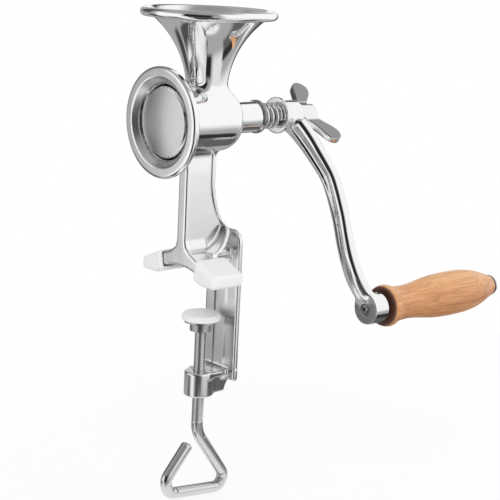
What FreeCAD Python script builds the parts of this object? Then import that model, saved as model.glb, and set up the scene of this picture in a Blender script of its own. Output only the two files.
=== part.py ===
"""A hand-cranked coffee grinder that clamps to the edge of a table, in millimetres.

The sheet's lengths are measured in the mill's own frame: X runs back from the front face of
the discharge flange along the shaft, Y is across, and Z is up from the shaft's axis. Every
piece is then placed so that the part's origin is where the clamp screw's axis meets the
table's top. Expressions are written with the sheet's aliases.
"""

import FreeCAD, Part
import math
import os
import Sketcher
from FreeCAD import Rotation, Vector

DOC = FreeCAD.newDocument("coffee_grinder")
SHEET = DOC.addObject("Spreadsheet::Sheet", "sizes")
SIZES = {
    # Where things are
    "shaft_height": 104.0,
    "screw_reach": 41.5,
    "hopper_reach": 38.0,
    "table_thickness": 26.0,
    # Discharge flange, bell, barrel and neck
    "flange_radius": 35.6,
    "flange_depth": 4.6,
    "flange_round": 1.8,
    "face_ring_radius": 28.7,
    "bell_radius": 27.8,
    "bell_start": 8.5,
    "bell_back_radius": 26.8,
    "bell_end": 14.0,
    "barrel_radius": 20.3,
    "barrel_start": 20.0,
    "barrel_end": 60.0,
    "barrel_round": 12.0,
    "barrel_bore": 17.0,
    "bore_end": 52.0,
    "neck_radius": 10.35,
    "neck_end": 80.3,
    # Hopper
    "throat_bore": 10.4,
    "hopper_wall": 2.8,
    "flare_start": 17.6,
    "flare_radius": 60.7,
    "hopper_top": 71.5,
    "hopper_radius": 44.0,
    "bead_radius": 2.95,
    # Leg and rear flange
    "web_thickness": 7.0,
    "leg_front": 21.0,
    "leg_back": 41.5,
    "leg_straight_end": 38.0,
    "leg_curve": 60.0,
    "heel_back": 51.8,
    "heel_height": 33.6,
    "heel_curve": 27.0,
    "foot_back": 39.0,
    "rear_flange_thickness": 2.75,
    "rear_flange_narrow": 8.4,
    "rear_flange_shoulder": 23.6,
    "rear_flange_wide": 30.8,
    "flare_top": 40.0,
    "flare_shoulder": 31.0,
    # Feet and deck, with heights above the table
    "deck_top": 18.5,
    "deck_bottom": 12.6,
    "arm_root": 28.0,
    "arm_root_curve": 16.0,
    "arm_bend": 11.2,
    "arm_shoulder": 18.0,
    "arm_shoulder_top": 16.0,
    "arm_crown_rise": 5.8,
    "arm_crown_curve": 30.0,
    "arm_tip": 31.5,
    "arm_tip_top": 8.6,
    "arm_tip_bottom": 2.5,
    "arm_back": 40.0,
    "cap_inner": 15.4,
    "cap_outer": 37.3,
    "cap_top": 18.5,
    "cap_crest": 23.0,
    "cap_crest_top": 17.5,
    "cap_side_top": 8.0,
    "cap_front": 18.5,
    "cap_back": 45.0,
    "cap_chamfer": 1.5,
    "cap_clearance": 0.3,
    # Frame round the table's edge, with heights above the table and the jaw's drops below it
    "spine_front": 58.0,
    "spine_thickness": 4.0,
    "spine_width": 33.0,
    "spine_top": 31.0,
    "spine_corner": 9.0,
    "rib_depth": 9.0,
    "rib_top": 24.0,
    "jaw_top": 66.0,
    "jaw_plate": 4.0,
    "jaw_width": 20.0,
    "jaw_bottom": 83.0,
    "jaw_corner": 10.0,
    "boss_radius": 10.0,
    # Grinding ring and burr
    "ring_front": 3.6,
    "ring_back": 11.0,
    "ring_radius": 25.2,
    "ring_seat_clearance": 0.05,
    "ring_mouth_depth": 5.0,
    "ring_mouth_radius": 23.9,
    "ring_throat_radius": 19.2,
    "ring_teeth": 36.0,
    "ring_tooth_depth": 0.9,
    "burr_gap": 1.1,
    "burr_teeth": 30.0,
    "burr_tooth_depth": 1.6,
    "burr_face": 1.2,
    "burr_hub_radius": 12.0,
    "burr_hub_end": 16.0,
    # Shaft, worm and bush
    "shaft_radius": 6.0,
    "running_clearance": 0.05,
    "stud_radius": 4.0,
    "stud_front": 4.4,
    "square_start": 97.0,
    "square_end": 115.5,
    "square_flats": 8.4,
    "shaft_end": 129.0,
    "worm_core": 9.0,
    "worm_radius": 15.6,
    "worm_pitch": 18.0,
    "worm_edge": 2.6,
    "worm_clearance": 0.5,
    "thrust_thickness": 1.6,
    "thrust_radius": 12.0,
    "key_pin_radius": 2.0,
    "key_pin_reach": 45.5,
    "bush_radius": 8.0,
    # Spring and its washer
    "washer_thickness": 2.5,
    "washer_radius": 11.2,
    "spring_radius": 7.63,
    "spring_wire": 1.2,
    "spring_turns": 3.5,
    "spring_closed_pitch": 2.9,
    "spring_clearance": 0.3,
    # Crank
    "hub_start": 99.5,
    "hub_disc": 2.5,
    "hub_disc_radius": 12.4,
    "hub_radius": 10.3,
    "hub_end_radius": 9.7,
    "hub_end": 118.0,
    "crank_angle": 27.0,
    "crank_radius": 141.1,
    "crank_bow": 8.2,
    "arm_width": 12.6,
    "arm_thickness": 8.4,
    "arm_corner": 2.6,
    "arm_start": 113.0,
    "boss_front": 132.2,
    "boss_length": 13.5,
    "crank_boss_radius": 10.5,
    # Wing nut
    "nut_gap": 0.1,
    "nut_radius": 6.9,
    "nut_end_radius": 6.3,
    "nut_end": 134.0,
    "nut_bore_end": 131.6,
    "thread_radius": 4.0,
    "wing_angle": 37.0,
    "wing_reach": 21.5,
    "wing_lift": 19.0,
    "wing_tip_radius": 6.5,
    "wing_thickness": 5.6,
    # Grip
    "grip_pin_radius": 4.0,
    "grip_washer_thickness": 1.5,
    "grip_washer_radius": 9.0,
    "grip_clearance": 0.3,
    "grip_length": 113.8,
    "grip_collar_radius": 12.6,
    "grip_collar_length": 8.0,
    "grip_collar_curve": 6.0,
    "grip_waist_end": 36.5,
    "grip_waist_radius": 12.5,
    "grip_waist_curve": 102.0,
    "grip_belly_end": 102.5,
    "grip_belly_end_radius": 10.2,
    "grip_belly_curve": 130.0,
    "grip_end_radius": 7.4,
    "cap_radius": 7.0,
    "cap_length": 5.8,
    # Clamp screw and its pad, with drops below the table
    "pad_radius": 11.5,
    "pad_thickness": 4.2,
    "pad_socket_radius": 7.5,
    "pad_socket_depth": 6.0,
    "pad_skin": 1.6,
    "pad_skin_lap": 2.4,
    "loop_start": 110.0,
    "loop_right": 32.2,
    "loop_right_drop": 155.6,
    "loop_left": 35.6,
    "loop_left_drop": 148.5,
    "loop_end": 7.2,
    "loop_end_drop": 117.2,
    "loop_lead_curve": 20.0,
    "loop_right_curve": 7.0,
    "loop_left_curve": 8.5,
}

# Stations along the crank's arm: share of the crank radius, then shares of the bow and of
# the rise from hub to boss, and the width and thickness against those at mid arm.
ARM_STATIONS = (
    (0.06, 0.20, 0.03, 1.45, 1.18),
    (0.12, 0.45, 0.15, 1.34, 1.12),
    (0.22, 0.70, 0.32, 1.18, 1.06),
    (0.37, 0.98, 0.50, 1.04, 1.00),
    (0.53, 0.82, 0.54, 1.00, 1.00),
    (0.68, 0.42, 0.555, 1.00, 1.00),
    (0.83, 0.13, 0.64, 1.02, 1.02),
    (0.97, 0.00, 0.92, 1.06, 1.08),
)

# Expressions that several pieces share.
NECK_BORE = "sizes.bush_radius + sizes.running_clearance"
SHAFT_BORE = "sizes.shaft_radius + sizes.running_clearance"
RING_SLOPE = ("((sizes.ring_mouth_radius - sizes.ring_throat_radius)"
              " / (sizes.ring_back - sizes.ring_mouth_depth))")
BURR_RADIUS = "(sizes.ring_mouth_radius - sizes.burr_gap)"
THROAT_RADIUS = "(sizes.throat_bore + sizes.hopper_wall)"
FLARE_CENTRE = f"({THROAT_RADIUS} + sizes.flare_radius)"
BEAD_HEIGHT = "(sizes.hopper_top - 1.96 * sizes.bead_radius)"
BEAD_INNER = "(sizes.hopper_radius - 0.8 * sizes.bead_radius)"
WORM_START = "(sizes.burr_hub_end + sizes.worm_clearance)"
WORM_END = "(sizes.bore_end - sizes.thrust_thickness - sizes.cap_clearance)"
GRIP_START = "(sizes.boss_front + sizes.boss_length + sizes.grip_washer_thickness + sizes.grip_clearance)"
GRIP_END = f"({GRIP_START} + sizes.grip_length)"
TURNED = "-sizes.crank_angle"
PIN_BORE = "sizes.grip_pin_radius + sizes.running_clearance"
PAD_TOP = "(sizes.shaft_height + sizes.table_thickness)"
SCREW_TOP = f"({PAD_TOP} + sizes.pad_skin + sizes.pad_thickness)"


def above(name):
    """Height in the mill's frame of a size that is measured up from the table's top."""
    return f"(sizes.{name} - sizes.shaft_height)"


def below(name):
    """Height in the mill's frame of a size that is measured down from the table's top."""
    return f"(-sizes.shaft_height - sizes.{name})"


def fill_sheet():
    """Writes the driving dimensions as plain numbers with their names as aliases."""
    for row, (name, value) in enumerate(SIZES.items(), start=1):
        SHEET.set(f"A{row}", name)
        SHEET.set(f"B{row}", str(value))
        SHEET.setAlias(f"B{row}", name)
    DOC.recompute()


def number(expression):
    """Value of an expression that is written with the sheet's aliases."""
    return float(SHEET.evalExpression(expression))


def place(item, angle=None):
    """Puts a piece in the part's frame, turned about the shaft's axis where asked."""
    item.setExpression(".Placement.Base.x", "-sizes.screw_reach")
    item.setExpression(".Placement.Base.z", "sizes.shaft_height")
    if angle:
        item.Placement.Rotation = Rotation(Vector(1, 0, 0), number(angle))
        item.setExpression(".Placement.Rotation.Angle", angle)


def new_body(label, angle=None):
    """An empty body in the mill's frame."""
    body = DOC.addObject("PartDesign::Body", label)
    body.Label = label
    place(body, angle)
    return body


def sketch(body, name, plane, **offset):
    """A sketch on one of the body's own planes, moved by expressions for x, y and z."""
    drawing = body.newObject("Sketcher::SketchObject", name)
    origin = [item for item in body.Origin.OriginFeatures if item.Role == plane]
    drawing.AttachmentSupport = [(origin[0], "")]
    drawing.MapMode = "FlatFace"
    for axis, expression in offset.items():
        drawing.setExpression(f".AttachmentOffset.Base.{axis}", expression)
    return drawing


def bind(drawing, constraint, expression):
    """Adds a constraint whose value follows an expression."""
    index = drawing.addConstraint(constraint)
    drawing.setExpression(f".Constraints[{index}]", expression)


def edge(start, end, curve):
    """A line, or an arc whose radius is negative where it bulges to the right."""
    if not curve:
        return Part.LineSegment(start, end)
    chord = end - start
    half = chord.Length / 2
    radius = abs(curve)
    rise = radius - math.sqrt(max(radius * radius - half * half, 0.0))
    left = Vector(-chord.y, chord.x, 0).normalize()
    middle = (start + end) / 2 + left * math.copysign(rise, curve)
    return Part.ArcOfCircle(start, middle, end)


def outline(drawing, corners):
    """Draws a closed outline through corners that are pairs of expressions.

    A third item makes the edge that leaves a corner an arc: its radius, with a leading minus
    where the arc bulges to the right of its direction."""
    spots = [Vector(number(corner[0]), number(corner[1]), 0) for corner in corners]
    curves = [corner[2] if len(corner) > 2 else None for corner in corners]
    count = len(corners)
    edges = []
    ends = []
    for index, spot in enumerate(spots):
        curve = curves[index]
        item = edge(spot, spots[(index + 1) % count], number(curve) if curve else None)
        geometry = drawing.addGeometry(item)
        forward = drawing.getPoint(geometry, 1).distanceToPoint(spot) < 1e-4
        edges.append(geometry)
        ends.append((1, 2) if forward else (2, 1))
    for index, corner in enumerate(corners):
        before = (index - 1) % count
        here = (edges[index], ends[index][0])
        drawing.addConstraint(Sketcher.Constraint("Coincident", edges[before], ends[before][1], *here))
        bind(drawing, Sketcher.Constraint("DistanceX", -1, 1, *here, spots[index].x), corner[0])
        bind(drawing, Sketcher.Constraint("DistanceY", -1, 1, *here, spots[index].y), corner[1])
        if curves[index]:
            radius = curves[index].lstrip("-")
            bind(drawing, Sketcher.Constraint("Radius", edges[index], number(radius)), radius)


def disc(drawing, across, up, radius):
    """Draws a circle whose centre and radius are expressions."""
    centre = Vector(number(across), number(up), 0)
    circle = drawing.addGeometry(Part.Circle(centre, Vector(0, 0, 1), number(radius)))
    bind(drawing, Sketcher.Constraint("DistanceX", -1, 1, circle, 3, centre.x), across)
    bind(drawing, Sketcher.Constraint("DistanceY", -1, 1, circle, 3, centre.y), up)
    bind(drawing, Sketcher.Constraint("Radius", circle, number(radius)), radius)


def feature(body, kind, name, drawing):
    """A PartDesign feature made from a sketch, as the body's newest."""
    item = body.newObject(f"PartDesign::{kind}", name)
    item.Profile = drawing
    body.Tip = item
    return item


def turn(body, kind, name, corners, axis="H_Axis", **offset):
    """A revolution or groove of an outline about the shaft's axis or a vertical axis."""
    drawing = sketch(body, f"{name}_sketch", "XZ_Plane", **offset)
    outline(drawing, corners)
    item = feature(body, kind, name, drawing)
    item.ReferenceAxis = (drawing, [axis])
    item.Angle = 360
    return item


def draw(body, name, plane, shapes, offset):
    """A sketch of outlines, which are lists of corners, or circles, which are triples."""
    drawing = sketch(body, f"{name}_sketch", plane, **offset)
    for shape in shapes:
        if isinstance(shape, tuple):
            disc(drawing, *shape)
        else:
            outline(drawing, shape)
    return drawing


def extrude(body, name, plane, shapes, length, middle=False, reverse=False, **offset):
    """A pad of outlines or circles; middle makes it symmetric about its plane."""
    item = feature(body, "Pad", name, draw(body, name, plane, shapes, offset))
    item.SideType = "Symmetric" if middle else "One side"
    item.Reversed = reverse
    item.setExpression("Length", length)
    return item


def cut(body, name, plane, shapes, length=None, middle=False, reverse=False, **offset):
    """A pocket of outlines or circles, through everything where no length is given."""
    drawing = draw(body, name, plane, shapes, offset)
    DOC.recompute()
    before = body.Shape.Volume
    item = feature(body, "Pocket", name, drawing)
    item.SideType = "Symmetric" if middle else "One side"
    item.Reversed = reverse
    if length:
        item.setExpression("Length", length)
    else:
        item.Type = "ThroughAll"
    DOC.recompute()
    if body.Shape.Volume > before - 0.01:
        raise RuntimeError(f"{name} removes nothing")
    return item


def leg_face(shift):
    """Front surface of the rear flange, from the barrel down to the deck, moved back."""
    return [
        (f"sizes.leg_back + {shift}", "-sizes.barrel_radius / 2"),
        (f"sizes.leg_back + {shift}", "-sizes.leg_straight_end", "-sizes.leg_curve"),
        (f"sizes.heel_back + {shift}", above("heel_height"), "sizes.heel_curve"),
        (f"sizes.foot_back + {shift}", above("deck_top")),
    ]


def casting_legs(body):
    """Rear flange, its taper, the web in front of it, the deck and the arms of the feet."""
    sheet = "sizes.rear_flange_thickness"
    rear_foot = f"{above('deck_top')} - {sheet}"
    extrude(body, "rear_flange", "XZ_Plane", [leg_face("0") + [
        ("sizes.foot_back", rear_foot),
        (f"sizes.foot_back + {sheet}", rear_foot, f"-(sizes.heel_curve + {sheet})"),
        (f"sizes.heel_back + {sheet}", f"{above('heel_height')} - 0.3 * {sheet}",
         f"sizes.leg_curve - {sheet}"),
        (f"sizes.leg_back + {sheet}", "-sizes.leg_straight_end"),
        (f"sizes.leg_back + {sheet}", "-sizes.barrel_radius / 2"),
    ]], "sizes.rear_flange_wide", middle=True)
    trims = []
    for side in ("", "-"):
        trims.append([
            (f"{side}sizes.rear_flange_narrow / 2", "-sizes.barrel_radius / 4"),
            (f"{side}sizes.rear_flange_narrow / 2", above("flare_top")),
            (f"{side}sizes.rear_flange_shoulder / 2", above("flare_shoulder")),
            (f"{side}(sizes.rear_flange_wide / 2 + 0.01)", above("deck_top")),
            (f"{side}sizes.rear_flange_wide", above("deck_top")),
            (f"{side}sizes.rear_flange_wide", "-sizes.barrel_radius / 4"),
        ])
    cut(body, "rear_flange_taper", "YZ_Plane", trims, middle=True)
    web = leg_face("1") + [
        ("sizes.foot_back", f"{above('deck_top')} - 1"),
        ("sizes.foot_back", above("deck_bottom")),
        ("sizes.leg_front", above("deck_bottom")),
        ("sizes.leg_front", "-sizes.barrel_radius / 2"),
    ]
    extrude(body, "web", "XZ_Plane", [web], "sizes.web_thickness", middle=True)
    half = "sizes.rear_flange_wide / 2"
    extrude(body, "deck", "XY_Plane", [[
        ("sizes.foot_back", f"-{half}"),
        ("sizes.spine_front + 1", f"-{half}"),
        ("sizes.spine_front + 1", half),
        ("sizes.foot_back", half),
    ]], "sizes.deck_top - sizes.deck_bottom", z=above("deck_bottom"))
    right = [
        ("sizes.arm_tip", above("arm_tip_bottom")),
        ("sizes.arm_tip", above("arm_tip_top")),
        ("sizes.arm_shoulder", above("arm_shoulder_top")),
        ("sizes.arm_bend", f"{above('deck_top')} + 1", "-sizes.arm_root_curve"),
        ("sizes.web_thickness / 2", above("arm_root")),
    ]
    left = [(f"-({corner[0]})", corner[1]) for corner in reversed(right)]
    left[0] = left[0] + ("-sizes.arm_root_curve",)
    crown = f"{above('deck_bottom')} - sizes.arm_crown_rise"
    arch = right + left + [
        ("-sizes.arm_shoulder", crown, "sizes.arm_crown_curve"),
        ("sizes.arm_shoulder", crown),
    ]
    extrude(body, "arms", "YZ_Plane", [arch], "sizes.arm_back - sizes.leg_front", z="sizes.leg_front")


def casting_top(body):
    """Flange, bell, barrel, neck and hopper as turned solids."""
    end_centre = "(sizes.barrel_end - sizes.barrel_round)"
    drop = "(sizes.neck_radius - sizes.barrel_radius + sizes.barrel_round)"
    turn(body, "Revolution", "barrel", [
        ("0", "0"),
        ("0", "sizes.flange_radius - sizes.flange_round", "sizes.flange_round"),
        ("sizes.flange_round", "sizes.flange_radius"),
        ("sizes.flange_depth - sizes.flange_round", "sizes.flange_radius", "sizes.flange_round"),
        ("sizes.flange_depth", "sizes.flange_radius - sizes.flange_round"),
        ("sizes.bell_start", "sizes.bell_radius"),
        ("sizes.bell_end", "sizes.bell_back_radius", "9"),
        ("sizes.barrel_start", "sizes.barrel_radius"),
        (end_centre, "sizes.barrel_radius", "sizes.barrel_round"),
        (f"{end_centre} + sqrt(sizes.barrel_round ^ 2 - {drop} ^ 2)", "sizes.neck_radius"),
        ("sizes.neck_end", "sizes.neck_radius"),
        ("sizes.neck_end", "0"),
    ])
    flare_end = f"({FLARE_CENTRE} - sqrt(sizes.flare_radius ^ 2 - ({BEAD_HEIGHT} - sizes.flare_start) ^ 2))"
    turn(body, "Revolution", "hopper", [
        ("0", "0"),
        (THROAT_RADIUS, "0"),
        (THROAT_RADIUS, "sizes.flare_start", "sizes.flare_radius"),
        (flare_end, BEAD_HEIGHT),
        (BEAD_INNER, BEAD_HEIGHT, "-sizes.bead_radius"),
        (BEAD_INNER, "sizes.hopper_top"),
        ("0", "sizes.hopper_top"),
    ], "V_Axis", x="sizes.hopper_reach")


def casting_frame(body):
    """Plate, rib and jaw that go round the table's edge, with the screw's boss."""
    half = "sizes.spine_width / 2"
    jaw_corner = f"{below('jaw_bottom')} + sizes.jaw_corner"
    extrude(body, "spine_plate", "YZ_Plane", [[
        (f"-({half})", jaw_corner),
        (half, jaw_corner),
        (half, f"{above('spine_top')} - sizes.spine_corner", "-sizes.spine_corner"),
        (f"{half} - sizes.spine_corner", above("spine_top")),
        (f"-({half}) + sizes.spine_corner", above("spine_top"), "-sizes.spine_corner"),
        (f"-({half})", f"{above('spine_top')} - sizes.spine_corner"),
    ]], "sizes.spine_thickness", z="sizes.spine_front")
    back = "sizes.spine_front + sizes.spine_thickness + sizes.rib_depth"
    extrude(body, "rib", "XZ_Plane", [[
        ("sizes.spine_front + 1", above("rib_top")),
        ("sizes.spine_front + sizes.spine_thickness + 1", above("rib_top")),
        (back, f"{above('rib_top')} - sizes.rib_depth"),
        (back, jaw_corner, "-sizes.jaw_corner"),
        (f"{back} - sizes.jaw_corner", below("jaw_bottom")),
        ("sizes.screw_reach", below("jaw_bottom")),
        ("sizes.screw_reach", f"{below('jaw_top')} - 1"),
        ("sizes.spine_front + 1", f"{below('jaw_top')} - 1"),
    ]], "sizes.web_thickness", middle=True)
    extrude(body, "jaw", "XY_Plane", [[
        ("sizes.screw_reach", "-sizes.jaw_width / 2"),
        ("sizes.spine_front", "-sizes.jaw_width / 2"),
        ("sizes.spine_front + sizes.spine_thickness / 2", f"-({half}) + 0.5"),
        ("sizes.spine_front + sizes.spine_thickness / 2", f"{half} - 0.5"),
        ("sizes.spine_front", "sizes.jaw_width / 2"),
        ("sizes.screw_reach", "sizes.jaw_width / 2"),
    ]], "sizes.jaw_plate", z=f"{below('jaw_top')} - sizes.jaw_plate")
    extrude(body, "screw_boss", "XY_Plane", [("sizes.screw_reach", "0", "sizes.boss_radius")],
            "sizes.jaw_bottom - sizes.jaw_top", z=below("jaw_bottom"))


def casting_bores(body):
    """Mouth, ring seat, feed bore, neck bore, hopper funnel and the screw's hole."""
    seat = "sizes.ring_radius + sizes.ring_seat_clearance"
    turn(body, "Groove", "bores", [
        ("-1", "0"),
        ("-1", "sizes.face_ring_radius"),
        ("0", "sizes.face_ring_radius"),
        ("sizes.ring_front", seat),
        ("sizes.ring_back", seat),
        ("sizes.ring_back", "sizes.barrel_bore"),
        ("sizes.bore_end", "sizes.barrel_bore"),
        ("sizes.bore_end", NECK_BORE),
        ("sizes.neck_end + 1", NECK_BORE),
        ("sizes.neck_end + 1", "0"),
    ])
    lip = (f"({FLARE_CENTRE} - sqrt((sizes.flare_radius + sizes.hopper_wall) ^ 2"
           " - (sizes.hopper_top - sizes.flare_start) ^ 2))")
    turn(body, "Groove", "funnel", [
        ("0", "sizes.throat_bore / 2"),
        ("sizes.throat_bore", "sizes.throat_bore / 2"),
        ("sizes.throat_bore", "sizes.flare_start", "sizes.flare_radius + sizes.hopper_wall"),
        (lip, "sizes.hopper_top"),
        (lip, "sizes.hopper_top + 1"),
        ("0", "sizes.hopper_top + 1"),
    ], "V_Axis", x="sizes.hopper_reach")
    cut(body, "screw_hole", "XY_Plane",
        [("sizes.screw_reach", "0", "sizes.thread_radius + sizes.running_clearance")],
        "sizes.jaw_bottom - sizes.jaw_top + 2", z=f"{below('jaw_top')} + 1")


def body_casting():
    body = new_body("body_casting")
    casting_legs(body)
    casting_top(body)
    casting_frame(body)
    casting_bores(body)


def dome_radius(height, radius):
    """Radius of the arc that rises by a height over a radius and crosses the axis squarely."""
    return f"({height} ^ 2 + {radius} ^ 2) / (2 * {height})"


def teeth(body, count, wide, front, back):
    """Grooves between the teeth of a cone: one tapered notch, repeated round the axis.

    front and back are triples: the plane's place, the groove's root and its mouth radius."""
    drawings = []
    for name, (reach, root, mouth) in (("front", front), ("back", back)):
        drawing = sketch(body, f"tooth_{name}", "YZ_Plane", z=reach)
        outline(drawing, [("0", root), (f"-({wide})", mouth), (wide, mouth)])
        drawings.append(drawing)
    notch = feature(body, "SubtractiveLoft", "tooth_notch", drawings[0])
    notch.Sections = [drawings[1]]
    notch.Ruled = True
    pattern = body.newObject("PartDesign::PolarPattern", "teeth")
    pattern.Originals = [notch]
    pattern.Axis = ([item for item in body.Origin.OriginFeatures if item.Role == "X_Axis"][0], [""])
    pattern.Angle = 360
    pattern.setExpression("Occurrences", count)
    body.Tip = pattern


def fixed_burr_ring():
    body = new_body("fixed_burr_ring")
    turn(body, "Revolution", "ring", [
        ("sizes.ring_front", "sizes.ring_radius - 0.2"),
        ("sizes.ring_front", "sizes.ring_radius"),
        ("sizes.ring_back", "sizes.ring_radius"),
        ("sizes.ring_back", "sizes.ring_throat_radius"),
        ("sizes.ring_mouth_depth", "sizes.ring_mouth_radius"),
    ])
    mouth = f"(sizes.ring_mouth_radius + {RING_SLOPE})"
    throat = f"(sizes.ring_throat_radius - {RING_SLOPE})"
    teeth(body, "sizes.ring_teeth", "sizes.ring_tooth_depth * 0.9",
          ("sizes.ring_mouth_depth - 1", f"{mouth} + sizes.ring_tooth_depth", f"{mouth} - 1"),
          ("sizes.ring_back + 1", f"{throat} + sizes.ring_tooth_depth", f"{throat} - 1"))


def burr_cone():
    """The turning burr: a domed disc with a toothed cone and a hub behind it."""
    body = new_body("burr_cone", TURNED)
    bevel = "sizes.ring_mouth_depth - sizes.burr_tooth_depth"
    dome = dome_radius(f"({bevel} - sizes.burr_face)", f"({BURR_RADIUS} - 1.2)")
    back = f"({BURR_RADIUS} - {RING_SLOPE} * (sizes.ring_back - sizes.ring_mouth_depth))"
    turn(body, "Revolution", "cone", [
        ("sizes.burr_face", "0", dome),
        (bevel, f"{BURR_RADIUS} - 1.2"),
        ("sizes.ring_mouth_depth", BURR_RADIUS),
        ("sizes.ring_back", back),
        ("sizes.ring_back", "sizes.burr_hub_radius"),
        ("sizes.burr_hub_end", "sizes.burr_hub_radius"),
        ("sizes.burr_hub_end", "sizes.stud_radius + sizes.running_clearance"),
        ("sizes.stud_front - 0.2", "sizes.stud_radius + sizes.running_clearance"),
        ("sizes.stud_front - 0.2", "0"),
    ])
    front = f"({BURR_RADIUS} - {RING_SLOPE} * 0.6)"
    rear = f"({back} - {RING_SLOPE})"
    teeth(body, "sizes.burr_teeth", "sizes.burr_tooth_depth * 0.75",
          ("sizes.ring_mouth_depth + 0.6", f"{front} - 0.1", f"{front} + 1.5"),
          ("sizes.ring_back + 1", f"{rear} - sizes.burr_tooth_depth", f"{rear} + 1.5"))


def drive_shaft():
    """Shaft with a stud for the burr, a square for the crank and a threaded end."""
    body = new_body("drive_shaft", TURNED)
    turn(body, "Revolution", "shaft", [
        ("sizes.stud_front", "0"),
        ("sizes.stud_front", "sizes.stud_radius"),
        ("sizes.burr_hub_end", "sizes.stud_radius"),
        ("sizes.burr_hub_end", "sizes.shaft_radius"),
        ("sizes.square_start", "sizes.shaft_radius"),
        ("sizes.square_start", "sizes.thread_radius"),
        ("sizes.shaft_end - 0.8", "sizes.thread_radius"),
        ("sizes.shaft_end", "sizes.thread_radius - 0.8"),
        ("sizes.shaft_end", "0"),
    ])
    half = "sizes.square_flats / 2"
    extrude(body, "square", "YZ_Plane", [[
        (f"-({half})", f"-({half})"),
        (half, f"-({half})"),
        (half, half),
        (f"-({half})", half),
    ]], "sizes.square_end - sizes.square_start + 1", z="sizes.square_start - 1")
    cut(body, "key_hole", "XY_Plane",
        [("sizes.key_pin_reach", "0", "sizes.key_pin_radius + sizes.running_clearance / 2")],
        middle=True)


def feed_auger():
    """Left-handed worm that carries the beans forward, keyed to the shaft by a pin."""
    body = new_body("feed_auger", TURNED)
    turn(body, "Revolution", "core", [
        (WORM_START, SHAFT_BORE),
        (WORM_START, "sizes.worm_core"),
        (WORM_END, "sizes.worm_core"),
        (WORM_END, SHAFT_BORE),
    ])
    drawing = sketch(body, "flight_sketch", "XZ_Plane")
    outline(drawing, [
        (f"{WORM_START} + 0.2", "sizes.worm_core - 0.6"),
        (f"{WORM_START} + 0.8", "sizes.worm_radius"),
        (f"{WORM_START} + 0.8 + sizes.worm_edge * 0.6", "sizes.worm_radius"),
        (f"{WORM_START} + 1.4 + sizes.worm_edge", "sizes.worm_core - 0.6"),
    ])
    flight = feature(body, "AdditiveHelix", "flight", drawing)
    flight.ReferenceAxis = (drawing, ["H_Axis"])
    flight.Mode = "pitch-height-angle"
    flight.setExpression("Pitch", "sizes.worm_pitch")
    flight.setExpression("Height", f"{WORM_END} - {WORM_START} - sizes.worm_edge - 2.2")
    flight.LeftHanded = True
    cut(body, "pin_hole", "XY_Plane",
        [("sizes.key_pin_reach", "0", "sizes.key_pin_radius + sizes.running_clearance / 2")],
        middle=True)


def auger_pin():
    body = new_body("auger_pin", TURNED)
    extrude(body, "pin", "XY_Plane", [("sizes.key_pin_reach", "0", "sizes.key_pin_radius")],
            "2 * sizes.worm_core - 0.6", middle=True)


def sleeve(label, front, back, inner, outer):
    """A plain ring about the shaft's axis, such as a bush or a washer."""
    body = new_body(label)
    turn(body, "Revolution", "ring", [(front, inner), (front, outer), (back, outer), (back, inner)])
    return body


def shaft_rings():
    """Bush in the neck, thrust washer in the barrel and the washer under the spring."""
    sleeve("neck_bush", "sizes.bore_end", "sizes.neck_end", SHAFT_BORE, "sizes.bush_radius")
    sleeve("thrust_washer", "sizes.bore_end - sizes.thrust_thickness", "sizes.bore_end",
           "sizes.shaft_radius + 0.4", "sizes.thrust_radius")
    sleeve("spring_washer", "sizes.neck_end", "sizes.neck_end + sizes.washer_thickness",
           "sizes.shaft_radius + 0.4", "sizes.washer_radius")


def spring_point(turns, start, rise):
    """Place and direction of the wire after some turns; the pitch closes at both ends."""
    count = number("sizes.spring_turns")
    radius = number("sizes.spring_radius")
    closed = number("sizes.spring_closed_pitch")
    share = turns / count
    spare = rise - closed * count
    reach = start + closed * turns + spare * share * share * (3 - 2 * share)
    pitch = closed + spare * 6 * share * (1 - share) / count
    angle = 2 * math.pi * turns
    point = Vector(reach, radius * math.cos(angle), radius * math.sin(angle))
    round_speed = 2 * math.pi * radius
    heading = Vector(pitch, -round_speed * math.sin(angle), round_speed * math.cos(angle))
    return point, heading.normalize()


def tangent_arcs(first, first_way, last, last_way):
    """Two arcs that leave one point and reach another along given directions."""
    span = last - first
    both = first_way + last_way
    square = 2 * (1 - first_way.dot(last_way))
    reach = span.dot(both)
    length = (-reach + math.sqrt(reach * reach + square * span.dot(span))) / square
    before = first + first_way * length
    after = last - last_way * length
    joint = (before + after) / 2
    arcs = []
    for start, knee, end in ((first, before, joint), (joint, after, last)):
        middle = (start + end) / 2
        towards = knee - middle
        angle = math.acos(min(1.0, (start - middle).Length / (start - knee).Length))
        sagitta = (start - middle).Length * math.tan(angle / 2)
        arcs.append(Part.Arc(start, middle + towards.normalize() * sagitta, end).toShape())
    return arcs


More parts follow.
